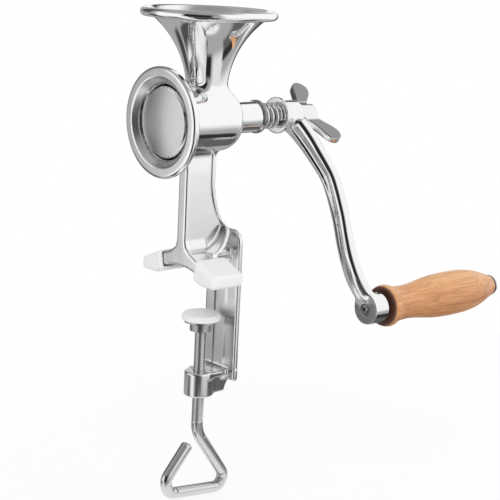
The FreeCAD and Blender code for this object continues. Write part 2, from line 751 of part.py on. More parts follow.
def pressure_spring():
    """One unbroken wire, wound between the washer on the neck and the crank's hub."""
    wire = number("sizes.spring_wire")
    start = number("sizes.neck_end + sizes.washer_thickness + sizes.spring_clearance") + wire
    rise = number("sizes.hub_start - sizes.spring_clearance") - wire - start
    steps = 4 * round(number("sizes.spring_turns"), 1)
    marks = [index / 4 for index in range(int(steps))] + [number("sizes.spring_turns")]
    stations = [spring_point(turns, start, rise) for turns in marks]
    lead = stations[0][0] - stations[0][1] * 2 * wire
    tail = stations[-1][0] + stations[-1][1] * 2 * wire
    edges = [Part.LineSegment(lead, stations[0][0]).toShape()]
    for (first, first_way), (last, last_way) in zip(stations, stations[1:]):
        edges.extend(tangent_arcs(first, first_way, last, last_way))
    edges.append(Part.LineSegment(stations[-1][0], tail).toShape())
    path = Part.Wire(edges)
    section = Part.Wire([Part.Circle(lead, stations[0][1], wire).toShape()])
    pipe = path.makePipeShell([section], True, False)
    samples = [spring_point(index / 60, start, rise)[0]
               for index in range(int(60 * number("sizes.spring_turns")))]
    gap = min((a - b).Length for i, a in enumerate(samples) for b in samples[i + 30:]) - 2 * wire
    print(f"pressure_spring: least gap to itself {gap:.2f} mm, length {path.Length:.1f} mm,"
          f" volume share {pipe.Volume / (math.pi * wire * wire * path.Length):.4f}")
    item = DOC.addObject("Part::Feature", "pressure_spring")
    item.Label = "pressure_spring"
    item.Shape = pipe
    place(item, TURNED)


def arm_section(body, index, station):
    """One section of the crank's arm: a rectangle with round corners, across the arm."""
    share, bow, rise, wide, thick = station
    drawing = sketch(body, f"arm_section_{index}", "XY_Plane", z=f"-sizes.crank_radius * {share}")
    level = ("(sizes.arm_start + (sizes.boss_front + sizes.boss_length / 2"
             f" - sizes.arm_start) * {rise})")
    side = f"(-sizes.crank_bow * {bow})"
    half_thick = f"(sizes.arm_thickness * {thick} / 2)"
    half_wide = f"(sizes.arm_width * {wide} / 2)"
    corner = "sizes.arm_corner"
    outline(drawing, [
        (f"{level} - {half_thick} + {corner}", f"{side} - {half_wide}"),
        (f"{level} + {half_thick} - {corner}", f"{side} - {half_wide}", f"-{corner}"),
        (f"{level} + {half_thick}", f"{side} - {half_wide} + {corner}"),
        (f"{level} + {half_thick}", f"{side} + {half_wide} - {corner}", f"-{corner}"),
        (f"{level} + {half_thick} - {corner}", f"{side} + {half_wide}"),
        (f"{level} - {half_thick} + {corner}", f"{side} + {half_wide}", f"-{corner}"),
        (f"{level} - {half_thick}", f"{side} + {half_wide} - {corner}"),
        (f"{level} - {half_thick}", f"{side} - {half_wide} + {corner}", f"-{corner}"),
    ])
    return drawing


def crank_arm():
    """Hub with a square hole, a bowed arm that steps back from the wing nut, and a boss."""
    body = new_body("crank_arm", TURNED)
    sections = [arm_section(body, index, station) for index, station in enumerate(ARM_STATIONS)]
    arm = feature(body, "AdditiveLoft", "arm", sections[0])
    arm.Sections = sections[1:]
    turn(body, "Revolution", "hub", [
        ("sizes.hub_start", "0"),
        ("sizes.hub_start", "sizes.hub_disc_radius"),
        ("sizes.hub_start + sizes.hub_disc", "sizes.hub_disc_radius"),
        ("sizes.hub_start + sizes.hub_disc", "sizes.hub_radius"),
        ("sizes.hub_end - 2", "sizes.hub_end_radius", "2"),
        ("sizes.hub_end", "sizes.hub_end_radius - 2"),
        ("sizes.hub_end", "0"),
    ])
    extrude(body, "boss", "YZ_Plane", [("0", "-sizes.crank_radius", "sizes.crank_boss_radius")],
            "sizes.boss_length", z="sizes.boss_front")
    half = "(sizes.square_flats / 2 + sizes.running_clearance)"
    cut(body, "square_hole", "YZ_Plane", [[
        (f"-{half}", f"-{half}"),
        (half, f"-{half}"),
        (half, half),
        (f"-{half}", half),
    ]], "sizes.hub_end - sizes.hub_start + 2", reverse=True, z="sizes.hub_start - 1")
    cut(body, "pin_hole", "YZ_Plane", [("0", "-sizes.crank_radius", PIN_BORE)],
        "sizes.boss_length + 2", reverse=True, z="sizes.boss_front - 1")


def wing_nut():
    """Nut with a blind thread and two wings that flare away from the crank."""
    body = new_body("wing_nut", "sizes.wing_angle")
    seat = "sizes.hub_end + sizes.nut_gap"
    turn(body, "Revolution", "nut", [
        (seat, "0"),
        (seat, "sizes.nut_radius + 0.9"),
        (f"{seat} + 1.6", "sizes.nut_radius + 0.9"),
        (f"{seat} + 2.6", "sizes.nut_radius"),
        ("sizes.nut_end - 1.2", "sizes.nut_end_radius", "1.2"),
        ("sizes.nut_end", "sizes.nut_end_radius - 1.2"),
        ("sizes.nut_end", "0"),
    ])
    tip = "sizes.wing_tip_radius"
    rise = "sizes.hub_end + sizes.wing_lift"
    wings = []
    for side in ("", "-"):
        bulge = tip if side == "" else f"-{tip}"
        wings.append([
            (f"{seat} + 2.6", f"{side}(sizes.nut_radius - 3)"),
            (f"{rise} - {tip} * 0.91", f"{side}(sizes.wing_reach + {tip} * 0.36)", bulge),
            (f"{rise} + {tip} * 0.91", f"{side}(sizes.wing_reach - {tip} * 0.36)"),
            ("sizes.nut_end - 1.4", f"{side}(sizes.nut_radius - 3)"),
        ])
    extrude(body, "wings", "XY_Plane", wings, "sizes.wing_thickness", middle=True)
    turn(body, "Groove", "thread_bore", [
        (f"{seat} - 1", "0"),
        (f"{seat} - 1", "sizes.thread_radius + sizes.running_clearance"),
        ("sizes.nut_bore_end", "sizes.thread_radius + sizes.running_clearance"),
        ("sizes.nut_bore_end", "0"),
    ])


def grip_parts():
    """Rod riveted in the crank's boss, with its washer, the turned grip and the end cap."""
    axis = "-sizes.crank_radius"
    pin = new_body("grip_pin", TURNED)
    turn(pin, "Revolution", "rod", [
        ("sizes.boss_front + 0.5", "0"),
        ("sizes.boss_front + 0.5", "sizes.grip_pin_radius - 0.5"),
        ("sizes.boss_front + 1", "sizes.grip_pin_radius"),
        (f"{GRIP_END} + sizes.cap_length / 2", "sizes.grip_pin_radius"),
        (f"{GRIP_END} + sizes.cap_length / 2", "0"),
    ], y=axis)
    washer = new_body("grip_washer", TURNED)
    turn(washer, "Revolution", "ring", [
        ("sizes.boss_front + sizes.boss_length", PIN_BORE),
        ("sizes.boss_front + sizes.boss_length", "sizes.grip_washer_radius"),
        (f"{GRIP_START} - sizes.grip_clearance", "sizes.grip_washer_radius"),
        (f"{GRIP_START} - sizes.grip_clearance", PIN_BORE),
    ], y=axis)
    grip = new_body("wooden_grip", TURNED)
    turn(grip, "Revolution", "turning", [
        (GRIP_START, PIN_BORE),
        (GRIP_START, "sizes.grip_collar_radius", "sizes.grip_collar_curve"),
        (f"{GRIP_START} + sizes.grip_collar_length", "sizes.grip_collar_radius + 0.3",
         "-sizes.grip_waist_curve"),
        (f"{GRIP_START} + sizes.grip_waist_end", "sizes.grip_waist_radius", "sizes.grip_belly_curve"),
        (f"{GRIP_START} + sizes.grip_belly_end", "sizes.grip_belly_end_radius"),
        (GRIP_END, "sizes.grip_end_radius"),
        (GRIP_END, PIN_BORE),
    ], y=axis)
    cap = new_body("grip_end_cap", TURNED)
    foot = f"({GRIP_END} + sizes.grip_clearance)"
    turn(cap, "Revolution", "dome", [
        (foot, PIN_BORE),
        (foot, "sizes.cap_radius"),
        (f"{foot} + 1.5", "sizes.cap_radius", dome_radius("(sizes.cap_length - 1.5)", "sizes.cap_radius")),
        (f"{foot} + sizes.cap_length", "0"),
        (f"{GRIP_END} + sizes.cap_length / 2 + 0.2", "0"),
        (f"{GRIP_END} + sizes.cap_length / 2 + 0.2", PIN_BORE),
    ], y=axis)


def clamp_screw():
    """Threaded rod, bent below the thread into a loop that is left open."""
    reach = "sizes.screw_reach"
    corners = [
        (reach, f"-{SCREW_TOP}"),
        (reach, below("loop_start"), "sizes.loop_lead_curve"),
        (f"{reach} + sizes.loop_right", below("loop_right_drop"), "sizes.loop_right_curve"),
        (f"{reach} - sizes.loop_left", below("loop_left_drop"), "sizes.loop_left_curve"),
        (f"{reach} - sizes.loop_end", below("loop_end_drop")),
    ]
    spots = [Vector(number(corner[0]), 0, number(corner[1])) for corner in corners]
    edges = []
    here = spots[0]
    for index in range(1, len(spots) - 1):
        radius = number(corners[index][2])
        back = (spots[index - 1] - spots[index]).normalize()
        ahead = (spots[index + 1] - spots[index]).normalize()
        half = back.getAngle(ahead) / 2
        start = spots[index] + back * (radius / math.tan(half))
        end = spots[index] + ahead * (radius / math.tan(half))
        inward = (back + ahead).normalize()
        middle = spots[index] + inward * (radius / math.sin(half) - radius)
        edges.append(Part.LineSegment(here, start).toShape())
        edges.append(Part.Arc(start, middle, end).toShape())
        here = end
    edges.append(Part.LineSegment(here, spots[-1]).toShape())
    path = Part.Wire(edges)
    circle = Part.Circle(spots[0], Vector(0, 0, -1), number("sizes.thread_radius"))
    section = Part.Wire([circle.toShape()])
    item = DOC.addObject("Part::Feature", "clamp_screw")
    item.Label = "clamp_screw"
    item.Shape = path.makePipeShell([section], True, False)
    place(item)


def pad_parts():
    """Swivel plate on the screw's tip, with a soft skin against the table's underside."""
    pad = new_body("clamp_pad")
    top = f"-({PAD_TOP} + sizes.pad_skin)"
    deep = f"-({SCREW_TOP} + sizes.pad_socket_depth)"
    bore = "sizes.thread_radius + sizes.running_clearance"
    turn(pad, "Revolution", "plate", [
        ("0", top),
        ("sizes.pad_radius", top),
        ("sizes.pad_radius", f"-{SCREW_TOP}"),
        ("sizes.pad_socket_radius", f"-{SCREW_TOP}"),
        ("sizes.pad_socket_radius", deep),
        (bore, deep),
        (bore, f"-{SCREW_TOP} + 0.3"),
        ("0", f"-{SCREW_TOP} + 0.3"),
    ], "V_Axis", x="sizes.screw_reach")
    skin = new_body("pad_cap")
    inner = "sizes.pad_radius + 0.05"
    outer = "sizes.pad_radius + sizes.pad_skin"
    lap = f"{top} - sizes.pad_skin_lap"
    turn(skin, "Revolution", "skin", [
        ("0", f"-{PAD_TOP}"),
        (f"{outer} - 1", f"-{PAD_TOP}"),
        (outer, f"-{PAD_TOP} - 1"),
        (outer, lap),
        (inner, lap),
        (inner, top),
        ("0", top),
    ], "V_Axis", x="sizes.screw_reach")


def foot_cap(label, side):
    """Soft cap on the end of one foot; side is a sign for the Y direction."""
    body = new_body(label)
    length = "sizes.cap_back - sizes.cap_front"
    extrude(body, "cap", "YZ_Plane", [[
        (f"{side}sizes.cap_inner", "-sizes.shaft_height"),
        (f"{side}(sizes.cap_outer - sizes.cap_chamfer)", "-sizes.shaft_height"),
        (f"{side}sizes.cap_outer", "-sizes.shaft_height + sizes.cap_chamfer"),
        (f"{side}sizes.cap_outer", above("cap_side_top")),
        (f"{side}sizes.cap_crest", above("cap_crest_top")),
        (f"{side}sizes.cap_inner", above("cap_top")),
    ]], length, z="sizes.cap_front")
    gap = "sizes.cap_clearance"
    mouth = "(sizes.cap_inner - 1)"
    cut(body, "socket", "YZ_Plane", [[
        (f"{side}{mouth}", f"{above('deck_bottom')} - sizes.arm_crown_rise - 0.4"),
        (f"{side}(sizes.arm_tip + {gap})", f"{above('arm_tip_bottom')} - {gap}"),
        (f"{side}(sizes.arm_tip + {gap})", f"{above('arm_tip_top')} + {gap}"),
        (f"{side}sizes.arm_shoulder", f"{above('arm_shoulder_top')} + {gap}"),
        (f"{side}{mouth}", f"{above('arm_shoulder_top')} + 2.2"),
    ]], f"sizes.arm_back - sizes.leg_front + 2 * {gap}", reverse=True, z=f"sizes.leg_front - {gap}")


def main():
    fill_sheet()
    body_casting()
    fixed_burr_ring()
    burr_cone()
    drive_shaft()
    feed_auger()
    auger_pin()
    shaft_rings()
    pressure_spring()
    crank_arm()
    wing_nut()
    grip_parts()
    clamp_screw()
    pad_parts()
    foot_cap("left_foot_cap", "")
    foot_cap("right_foot_cap", "-")
    DOC.recompute()
    for item in DOC.Objects:
        if "Invalid" in item.State or "Error" in item.State:
            raise RuntimeError(f"{item.Label} failed: {item.State}")
    pieces = [item for item in DOC.Objects
              if item.isDerivedFrom("PartDesign::Body") or item.TypeId == "Part::Feature"]
    for piece in pieces:
        if piece.Shape.isNull() or not piece.Shape.isValid():
            raise RuntimeError(f"{piece.Label} has no valid shape")
        print(f"{piece.Label}: {len(piece.Shape.Solids)} solid, {piece.Shape.Volume / 1000:.2f} cm3")
    os.makedirs("parts", exist_ok=True)
    for piece in pieces:
        piece.Shape.exportStep(f"parts/{piece.Label}.step")


main()
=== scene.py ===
"""Looks of the table-clamped coffee grinder: polished castings, turned wood and soft caps.

Shapes are worked out in millimetres in the mill's own frame, where X runs back from the front
face of the discharge flange along the shaft, Y is across and Z is up from the shaft's axis.
Castings are blended from signed distance fields, so their fillets run into each other as they
do on the real casting.
"""

import math

import bpy
import numpy as np
from mathutils import Matrix, Vector

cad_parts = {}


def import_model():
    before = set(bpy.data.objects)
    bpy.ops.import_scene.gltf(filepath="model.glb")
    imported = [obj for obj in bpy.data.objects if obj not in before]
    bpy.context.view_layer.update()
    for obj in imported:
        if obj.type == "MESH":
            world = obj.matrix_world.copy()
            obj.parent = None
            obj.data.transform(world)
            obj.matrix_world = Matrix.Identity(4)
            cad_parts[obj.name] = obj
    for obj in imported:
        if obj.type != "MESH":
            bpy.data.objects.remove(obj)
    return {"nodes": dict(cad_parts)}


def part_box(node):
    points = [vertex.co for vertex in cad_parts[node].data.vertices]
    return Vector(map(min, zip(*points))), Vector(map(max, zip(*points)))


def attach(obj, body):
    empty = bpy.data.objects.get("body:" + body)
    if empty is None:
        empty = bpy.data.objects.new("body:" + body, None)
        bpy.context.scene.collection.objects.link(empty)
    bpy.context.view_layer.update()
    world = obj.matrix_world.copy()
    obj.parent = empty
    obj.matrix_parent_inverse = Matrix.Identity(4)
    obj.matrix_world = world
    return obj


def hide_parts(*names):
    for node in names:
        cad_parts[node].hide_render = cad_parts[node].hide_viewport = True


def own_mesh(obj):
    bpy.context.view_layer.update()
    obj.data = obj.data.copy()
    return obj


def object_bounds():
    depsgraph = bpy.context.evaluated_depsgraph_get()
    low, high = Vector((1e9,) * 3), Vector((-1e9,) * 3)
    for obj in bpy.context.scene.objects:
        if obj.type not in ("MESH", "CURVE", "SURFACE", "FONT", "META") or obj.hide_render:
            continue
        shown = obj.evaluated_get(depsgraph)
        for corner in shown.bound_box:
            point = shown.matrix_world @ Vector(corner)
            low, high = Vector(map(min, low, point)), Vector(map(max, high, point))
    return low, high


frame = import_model()
CAD_LOW, CAD_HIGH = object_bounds()

MM = 0.001

# The mill's frame in the part's frame
SCREW_REACH = 41.5
SHAFT_HEIGHT = 104.0
HOPPER_REACH = 38.0
CRANK_TURN = math.radians(-27.0)
WING_TURN = math.radians(37.0)

# Flange, barrel and neck
FLANGE_RADIUS = 35.6
FLANGE_DEPTH = 4.6
FLANGE_ROUND = 1.8
BACK_ROUND = 1.4
FACE_RING_RADIUS = 28.7
BELL_RADIUS = 27.8
BELL_START = 8.5
BELL_CURVE = 9.0
BELL_END_RADIUS = 26.7
BELL_END = 11.2
BELL_FILLET = 6.0
BARREL_RADIUS = 20.3
BARREL_START = 14.8
BARREL_END = 60.0
BARREL_ROUND = 12.0
NECK_RADIUS = 10.35
NECK_END = 80.3
NECK_BORE = 8.05
RING_FRONT = 3.6
RING_BACK = 11.0
RING_SEAT = 25.25
BARREL_BORE = 17.0
BORE_END = 52.0
BURR_FACE_RADIUS = 21.6

# Hopper
THROAT_BORE = 10.4
HOPPER_WALL = 2.8
FLARE_START = 17.6
FLARE_RADIUS = 60.7
FLARE_CENTRE = THROAT_BORE + HOPPER_WALL + FLARE_RADIUS
HOPPER_TOP = 71.3
HOPPER_RADIUS = 44.0
BEAD_RADIUS = 2.95
LIP_CHAMFER = 1.2

# Leg, with the half widths of its rear flange at drops below the shaft
LEG_TOP = -8.0
WEB_HALF = 4.5
WEB_LAP = 2.3
WEB_FOOT = -78.5
LEG_FRONT = 21.0
LEG_BACK = 41.5
LEG_BEND = -38.0
HEEL_BACK = 51.8
HEEL_HEIGHT = -70.4
LEG_CURVE = 60.0
HEEL_CURVE = 27.0
FOOT_BACK = 39.0
LEG_SATIN_TOP = -28.0
SHEET = 2.75
FLARE_DROPS = (62.0, 65.0, 67.5, 70.0, 72.0, 74.5, 86.0)
FLARE_HALVES = (5.6, 5.9, 6.8, 8.6, 10.8, 12.3, 15.4)
FLARE_LEAN = 0.8

# Feet, with one side's outline across and up: over the arm, then under it to the arch
WIDE_HALF = 15.0
DECK_TOP = -85.5
DECK_BOTTOM = -91.4
DECK_HALF = 9.0
DECK_STEP = (FOOT_BACK + 2, FOOT_BACK + 6)
ARM_BACK = 40.0
FOOT_CROWN = [(5.6, -82.6), (10.1, -86.0), (18.0, -89.6), (31.5, -96.5)]
FOOT_UNDERSIDE = [(31.5, -101.5), (18.0, -98.6)]
FOOT_ARCH = 52.0

# Frame round the table's edge
SPINE_FRONT = 58.0
SPINE_BACK = 62.0
SPINE_HALF = 16.5
SPINE_TOP = -73.0
SPINE_CORNER = 9.0
RIB_BACK = 71.0
RIB_TOP = -80.0
RIB_SLOPE = 9.0
JAW_TOP = -170.0
JAW_PLATE = 4.0
JAW_HALF = 10.0
JAW_BOTTOM = -187.0
JAW_CORNER = 10.0
BOSS_RADIUS = 10.0
SCREW_HOLE = 4.05
SCREW_HOLE_TOP = -160.0

# Fillets where the casting's parts meet, and rounding of their edges
THROAT_FILLET = 7.0
LEG_FILLET = 3.0
WEB_FILLET = 1.8
DECK_FILLET = 1.6
SPINE_FILLET = 1.6
RIB_FILLET = 2.5
BOSS_FILLET = 2.0
PLATE_EDGE = 2.0
CAST_EDGE = 1.4
SHEET_EDGE = 1.2
DECK_EDGE = 1.0
HOLE_EDGE = 0.8
BORE_EDGE = 0.7
WEB_EDGE = 0.5
CUT_EDGE = 0.3

# Spring and its washer
SPRING_RADIUS = 7.63
SPRING_WIRE = 1.2
SPRING_TURNS = 3.5
SPRING_TAIL = 0.12
SPRING_PITCH = 2.9
SPRING_GAP = 0.3
WASHER_DEPTH = 2.5
WASHER_RADIUS = 11.2
WASHER_BORE = 6.4

# Crank: hub, arm and the eye that holds the grip's pin, with the arm hanging straight down
HUB_START = 99.5
HUB_DISC = 2.5
HUB_DISC_RADIUS = 12.4
HUB_RADIUS = 10.3
HUB_END_RADIUS = 9.7
HUB_END = 118.0
HUB_ROUND = 2.2
HUB_FILLET = 3.0
NUT_SEAT = 8.3
SQUARE_HALF = 4.25
CRANK_RADIUS = 141.1
CRANK_BOW = 8.2
ARM_WIDTH = 13.3
ARM_THICKNESS = 8.9
ARM_START = 113.0
ARM_SQUARENESS = 2.6
ARM_LEAN = 0.92
ARM_LAP = 2.0
ARM_BLUR = 14
EYE_FRONT = 132.2
EYE_LENGTH = 13.5
EYE_RIM = 10.5
EYE_FILLET = 2.2
EYE_CENTRE = (0.0, -CRANK_RADIUS)
PIN_BORE = 4.05
PIN_BORE_DEPTH = 14.0
GROOVE_MIDDLE = 34.0
GROOVE_HALF = 26.0
GROOVE_EVEN = 0.55
GROOVE_WIDTH = 3.0
GROOVE_DEPTH = 1.7
GROOVE_LEAN = 1.6

# Stations along the arm: share of the crank's radius, shares of the bow and of the rise from
# hub to boss, and width and thickness against those at mid arm
ARM_STATIONS = (
    (0.06, 0.20, 0.03, 1.45, 1.18),
    (0.12, 0.45, 0.15, 1.34, 1.12),
    (0.22, 0.70, 0.32, 1.18, 1.06),
    (0.37, 0.98, 0.50, 1.04, 1.00),
    (0.53, 0.82, 0.54, 1.00, 1.00),
    (0.68, 0.42, 0.555, 1.00, 1.00),
    (0.83, 0.13, 0.64, 1.02, 1.02),
    (0.97, 0.00, 0.92, 1.06, 1.08),
)

# Wing nut
NUT_GAP = 0.1
NUT_RADIUS = 6.9
NUT_END_RADIUS = 6.3
NUT_END = 134.0
NUT_ROUND = 1.6
NUT_COLLAR = 0.9
NUT_COLLAR_END = 1.6
NUT_BORE_END = 131.6
NUT_CLEARANCE = 0.05
WING_START = 7.8
WING_SINK = 2.5
WING_REACH = 21.5
WING_RISE = 137.0
WING_THICKNESS = 5.6
WING_TAPER = 0.5
WING_HALF = 4.6
WING_WAIST = 0.9
WING_TIP = 2.8
WING_FILLET = 2.6
WING_EDGE = 0.9

# Grip: place and radius along it from the collar to its end
GRIP_START = 147.5
GRIP_LENGTH = 113.8
GRIP_SHAPE = (
    (0.0, 12.8), (1.5, 13.9), (4.0, 14.6), (6.5, 14.2), (8.5, 13.1), (14.0, 12.1),
    (22.0, 11.7), (30.0, 12.1), (41.0, 13.6), (55.0, 15.2), (69.0, 15.6), (82.0, 15.3),
    (92.0, 14.1), (102.0, 11.6), (108.0, 9.6), (113.8, 7.8),
)
GRIP_BORE = 4.3
COLLAR_GAP = 0.3
COLLAR_RADIUS = 7.6
COLLAR_LENGTH = 1.9
CAP_START = 1.1
CAP_RADIUS = 7.0
CAP_LENGTH = 4.7
CAP_EDGE = 1.9
PIN_RADIUS = 4.0
PIN_DIMPLE = 1.9

# Clamp screw, with its loop's corners: place from the screw's axis, height and bend radius
THREAD_RADIUS = 4.0
THREAD_PITCH = 1.25
THREAD_DEPTH = 0.62
THREAD_ROOT = 1.25
THREAD_FLANK = 1.9
THREAD_END = -207.0
THREAD_RUNOUT = 2.5
SCREW_TOP = -135.8
SCREW_LOOP = (
    (0, SCREW_TOP, 0), (0, -214, 20), (32.2, -259.6, 7), (-33.6, -252.5, 8.5), (-7.2, -221.2, 0),
)

# Foot caps, and one side of the socket that takes the foot
CAP_INNER = 15.4
CAP_OUTER = 37.3
CAP_CREST = 17.9
CAP_TOP = -87.6
CAP_SIDE_TOP = -95.6
CAP_UNDERCUT = 3.0
UNDERCUT_REACH = 8.0
CAP_CHAMFER = 1.5
CAP_ROUND = 3.4
CAP_CLEARANCE = 0.3
CAP_FRONT = 18.5
CAP_BACK = 45.0
CAP_SOCKET = (
    (CAP_INNER - 3, -98.0), (31.8, -101.8), (31.8, -96.2), (18.0, -89.3), (CAP_INNER - 3, -86.9),
)

# Softening of the outlines' corners, and grids that the small castings need
CAST_SOFT = 0.6
SHARP_SOFT = 0.35
FINE_STEP = 0.15

# The photograph's viewpoint: the camera's place in the mill's frame and how it is held
CAMERA_LENS = 100.38
CAMERA_SENSOR = 36.0
CAMERA_PLACE = (-538.874, -689.281, 116.894)
CAMERA_RIGHT = (0.748977, -0.660940, 0.046816)
CAMERA_UP = (0.110881, 0.194682, 0.974579)

# Soft lamps: name, place, point that it looks at, size in metres and power in watts
LAMPS = (
    ("key", (-1.2, -1.0, 1.6), (0.05, 0, 0.05), 1.4, 18),
    ("fill", (1.4, -1.2, 0.9), (0.05, 0, 0.0), 1.6, 7),
    ("back", (0.6, 1.6, 1.3), (0.05, 0, 0.05), 1.4, 8.5),
)

# The studio that polished metal shows: a pale grey room with white and black cards round the
# mill. Each card has its level, its middle and half width round the mill, its middle and half
# height up it, and the softness of its edges, all in degrees
CARDS = (
    (0.30, 90, 100, 88, 24, 9),
    (0.95, 0, 190, -90, 15, 5),
    (1.00, -38, 68, 23, 38, 9),
    (0.30, -150, 38, 50, 22, 8),
    (0.02, -150, 26, 7, 25, 5),
    (1.00, 156.5, 25, -2, 25, 6),
    (0.07, 100, 17, 23, 26, 8),
    (0.06, 111, 13, -25, 12, 5),
    (0.80, -78, 24, -26, 15, 8),
    (0.02, -134, 23, -32, 12, 4),
    (0.08, -146, 12, -50, 14, 4),
    (1.00, 180, 11, -48, 34, 4),
    (0.07, 148, 10, -48, 16, 4),
    (0.12, -22, 36, -43, 11, 4),
    (0.03, -36, 22, -35.5, 5, 3),
    (1.00, 49, 15, 8, 10, 5),
    (0.05, 41, 10, 30, 10, 4),
    (0.08, 42, 20, -13, 13, 7),
)
ROOM = 0.4
CARD_MIDDLE = (0.0, 0.0, 0.07)
SKY = 0.7
SKY_COLOUR = (0.96, 0.98, 1.0, 1)
WHITE = (1, 1, 1, 1)

# Floor: half its side, its drop below the mill, and where it fades from grey to white
FLOOR_HALF = 6.0
FLOOR_DROP = 0.0006
FLOOR_GREY = 0.86
FLOOR_FADE = (0.25, 0.6)

# Each metal's colour, its least and greatest roughness, and the height of its waves in metres
METALS = {
    "polished_casting": ((0.93, 0.932, 0.935), 0.04, 0.07, 0.00012),
    "burr_steel": ((0.62, 0.62, 0.63), 0.16, 0.22, 0.00005),
    "polished_burr": ((0.8, 0.8, 0.81), 0.1, 0.16, 0.00003),
    "shaft_steel": ((0.62, 0.62, 0.63), 0.22, 0.32, 0.00005),
    "auger_iron": ((0.5, 0.5, 0.5), 0.3, 0.45, 0.0002),
    "bush_brass": ((0.72, 0.5, 0.2), 0.25, 0.35, 0.00005),
    "washer_chrome": ((0.82, 0.82, 0.83), 0.08, 0.14, 0.00004),
    "spring_steel": ((0.84, 0.845, 0.85), 0.07, 0.11, 0.00002),
    "polished_crank": ((0.9, 0.902, 0.905), 0.06, 0.1, 0.00008),
    "polished_nut": ((0.88, 0.882, 0.885), 0.07, 0.12, 0.0001),
    "pin_steel": ((0.34, 0.34, 0.35), 0.2, 0.3, 0.00004),
    # Painted shade: near-black steel for the grip's washer and end ring, in the shaded gaps at
    # both ends of the grip
    "painted_shade_steel": ((0.12, 0.12, 0.125), 0.25, 0.35, 0.00004),
    "cap_chrome": ((0.8, 0.8, 0.81), 0.08, 0.14, 0.00003),
    "screw_steel": ((0.72, 0.72, 0.73), 0.12, 0.2, 0.00006),
    "pad_iron": ((0.55, 0.55, 0.55), 0.25, 0.38, 0.0001),
}
WOOD_TONES = (
    (0.28, (0.50, 0.19, 0.07)), (0.45, (0.74, 0.35, 0.145)),
    (0.6, (0.82, 0.44, 0.20)), (0.78, (0.62, 0.27, 0.10)),
)
# Painted shade: near-black brown for the grip's collar end, which lies in shadow beside the
# crank's boss
COLLAR_SHADE = (0.09, 0.035, 0.018, 1.0)

# Materials of the solids that show as they are
NODE_LOOKS = {
    "fixed_burr_ring": "burr_steel", "burr_cone": "polished_burr", "drive_shaft": "shaft_steel",
    "feed_auger": "auger_iron", "auger_pin": "pin_steel", "neck_bush": "bush_brass",
    # Painted shade: the grip's washer is near-black for the shaded gap between the boss and the
    # grip
    "thrust_washer": "washer_chrome", "grip_washer": "painted_shade_steel",
    "clamp_pad": "pad_iron", "pad_cap": "soft_white",
}


def to_part(points):
    """Points of the mill's frame, in millimetres, as points of the part's frame in metres."""
    return (np.asarray(points, float) + (-SCREW_REACH, 0.0, SHAFT_HEIGHT)) * MM


def part_point(x, y, z):
    """A point of the mill's frame, in millimetres, in the part's frame in metres."""
    return to_part([(x, y, z)])[0]


def turned(points, angle):
    """Points turned about the shaft's axis."""
    points = np.asarray(points, float)
    cos, sin = math.cos(angle), math.sin(angle)
    y = points[:, 1] * cos - points[:, 2] * sin
    z = points[:, 1] * sin + points[:, 2] * cos
    return np.stack([points[:, 0], y, z], axis=1)


def arc(start, end, radius, steps=16):
    """Points of an arc after its start; a positive radius bulges to the left of its direction."""
    start, end = np.array(start, float), np.array(end, float)
    chord = end - start
    half = np.linalg.norm(chord) / 2
    left = np.array([-chord[1], chord[0]]) / (2 * half)
    reach = math.sqrt(max(radius * radius - half * half, 0.0))
    centre = (start + end) / 2 - left * math.copysign(reach, radius)
    first = math.atan2(*(start - centre)[::-1])
    sweep = -math.copysign(2 * math.asin(min(1.0, half / abs(radius))), radius)
    angles = first + sweep * np.arange(1, steps + 1) / steps
    return [tuple(centre + abs(radius) * np.array([math.cos(a), math.sin(a)])) for a in angles]


def path(*spots):
    """An outline through points; a radius and a count of steps make the run to one an arc."""
    points = []
    for x, y, *bend in spots:
        points += arc(points[-1], (x, y), *bend) if bend else [(x, y)]
    return points


def mirrored(points):
    """A half outline above the shaft's axis, closed by its mirror image below it."""
    return points + [(x, -r) for x, r in reversed(points)]


def reflected(points):
    """The other side of an upright outline, from its last point back to its first."""
    return [(-across, up) for across, up in reversed(points)]


class Outline:
    """Signed distance to a closed outline, with softened corners, kept on a fine grid."""

    def __init__(self, points, soften=0.5, step=0.2, margin=5.0):
        corners = np.array(points, float)
        self.step = step
        self.low = corners.min(0) - margin
        count = np.ceil((corners.max(0) + margin - self.low) / step).astype(int) + 1
        across = self.low[0] + step * np.arange(count[0])[:, None]
        up = self.low[1] + step * np.arange(count[1])[None, :]
        least = np.full(count, 1e9)
        inside = np.zeros(count, bool)
        for a, b in zip(corners, np.roll(corners, -1, axis=0)):
            way = b - a
            length = max(way @ way, 1e-12)
            share = np.clip(((across - a[0]) * way[0] + (up - a[1]) * way[1]) / length, 0, 1)
            gap = (across - a[0] - share * way[0]) ** 2 + (up - a[1] - share * way[1]) ** 2
            np.minimum(least, gap, out=least)
            if a[1] != b[1]:
                between = (a[1] > up) != (b[1] > up)
                cross = a[0] + (up - a[1]) / way[1] * way[0]
                inside ^= between & (across < cross)
        distance = np.sqrt(least)
        distance[inside] *= -1
        self.values = self.blurred(distance, soften / step) if soften else distance

    @staticmethod
    def blurred(values, sigma):
        """A Gaussian blur that leaves straight edges where they are."""
        reach = int(math.ceil(3 * sigma))
        weights = np.exp(-0.5 * (np.arange(-reach, reach + 1) / sigma) ** 2)
        weights /= weights.sum()
        values = np.pad(values, reach, mode="reflect", reflect_type="odd")
        for axis in (0, 1):
            values = np.apply_along_axis(np.convolve, axis, values, weights, "valid")
        return values

    def __call__(self, across, up):
        """Distance by cubic B-spline interpolation, which keeps the surface smooth."""
        taps = []
        for spot, low, count in zip((across, up), self.low, self.values.shape):
            spot = np.clip((spot - low) / self.step, 1.001, count - 2.001)
            first = np.floor(spot).astype(np.int64)
            part = spot - first
            rest = 1 - part
            weights = (rest ** 3, 3 * part ** 3 - 6 * part ** 2 + 4,
                       3 * rest ** 3 - 6 * rest ** 2 + 4, part ** 3)
            taps.append([(first + i - 1, weight / 6) for i, weight in enumerate(weights)])
        rows, columns = taps
        return sum(high * sum(self.values[row, column] * wide for column, wide in columns)
                   for row, high in rows)


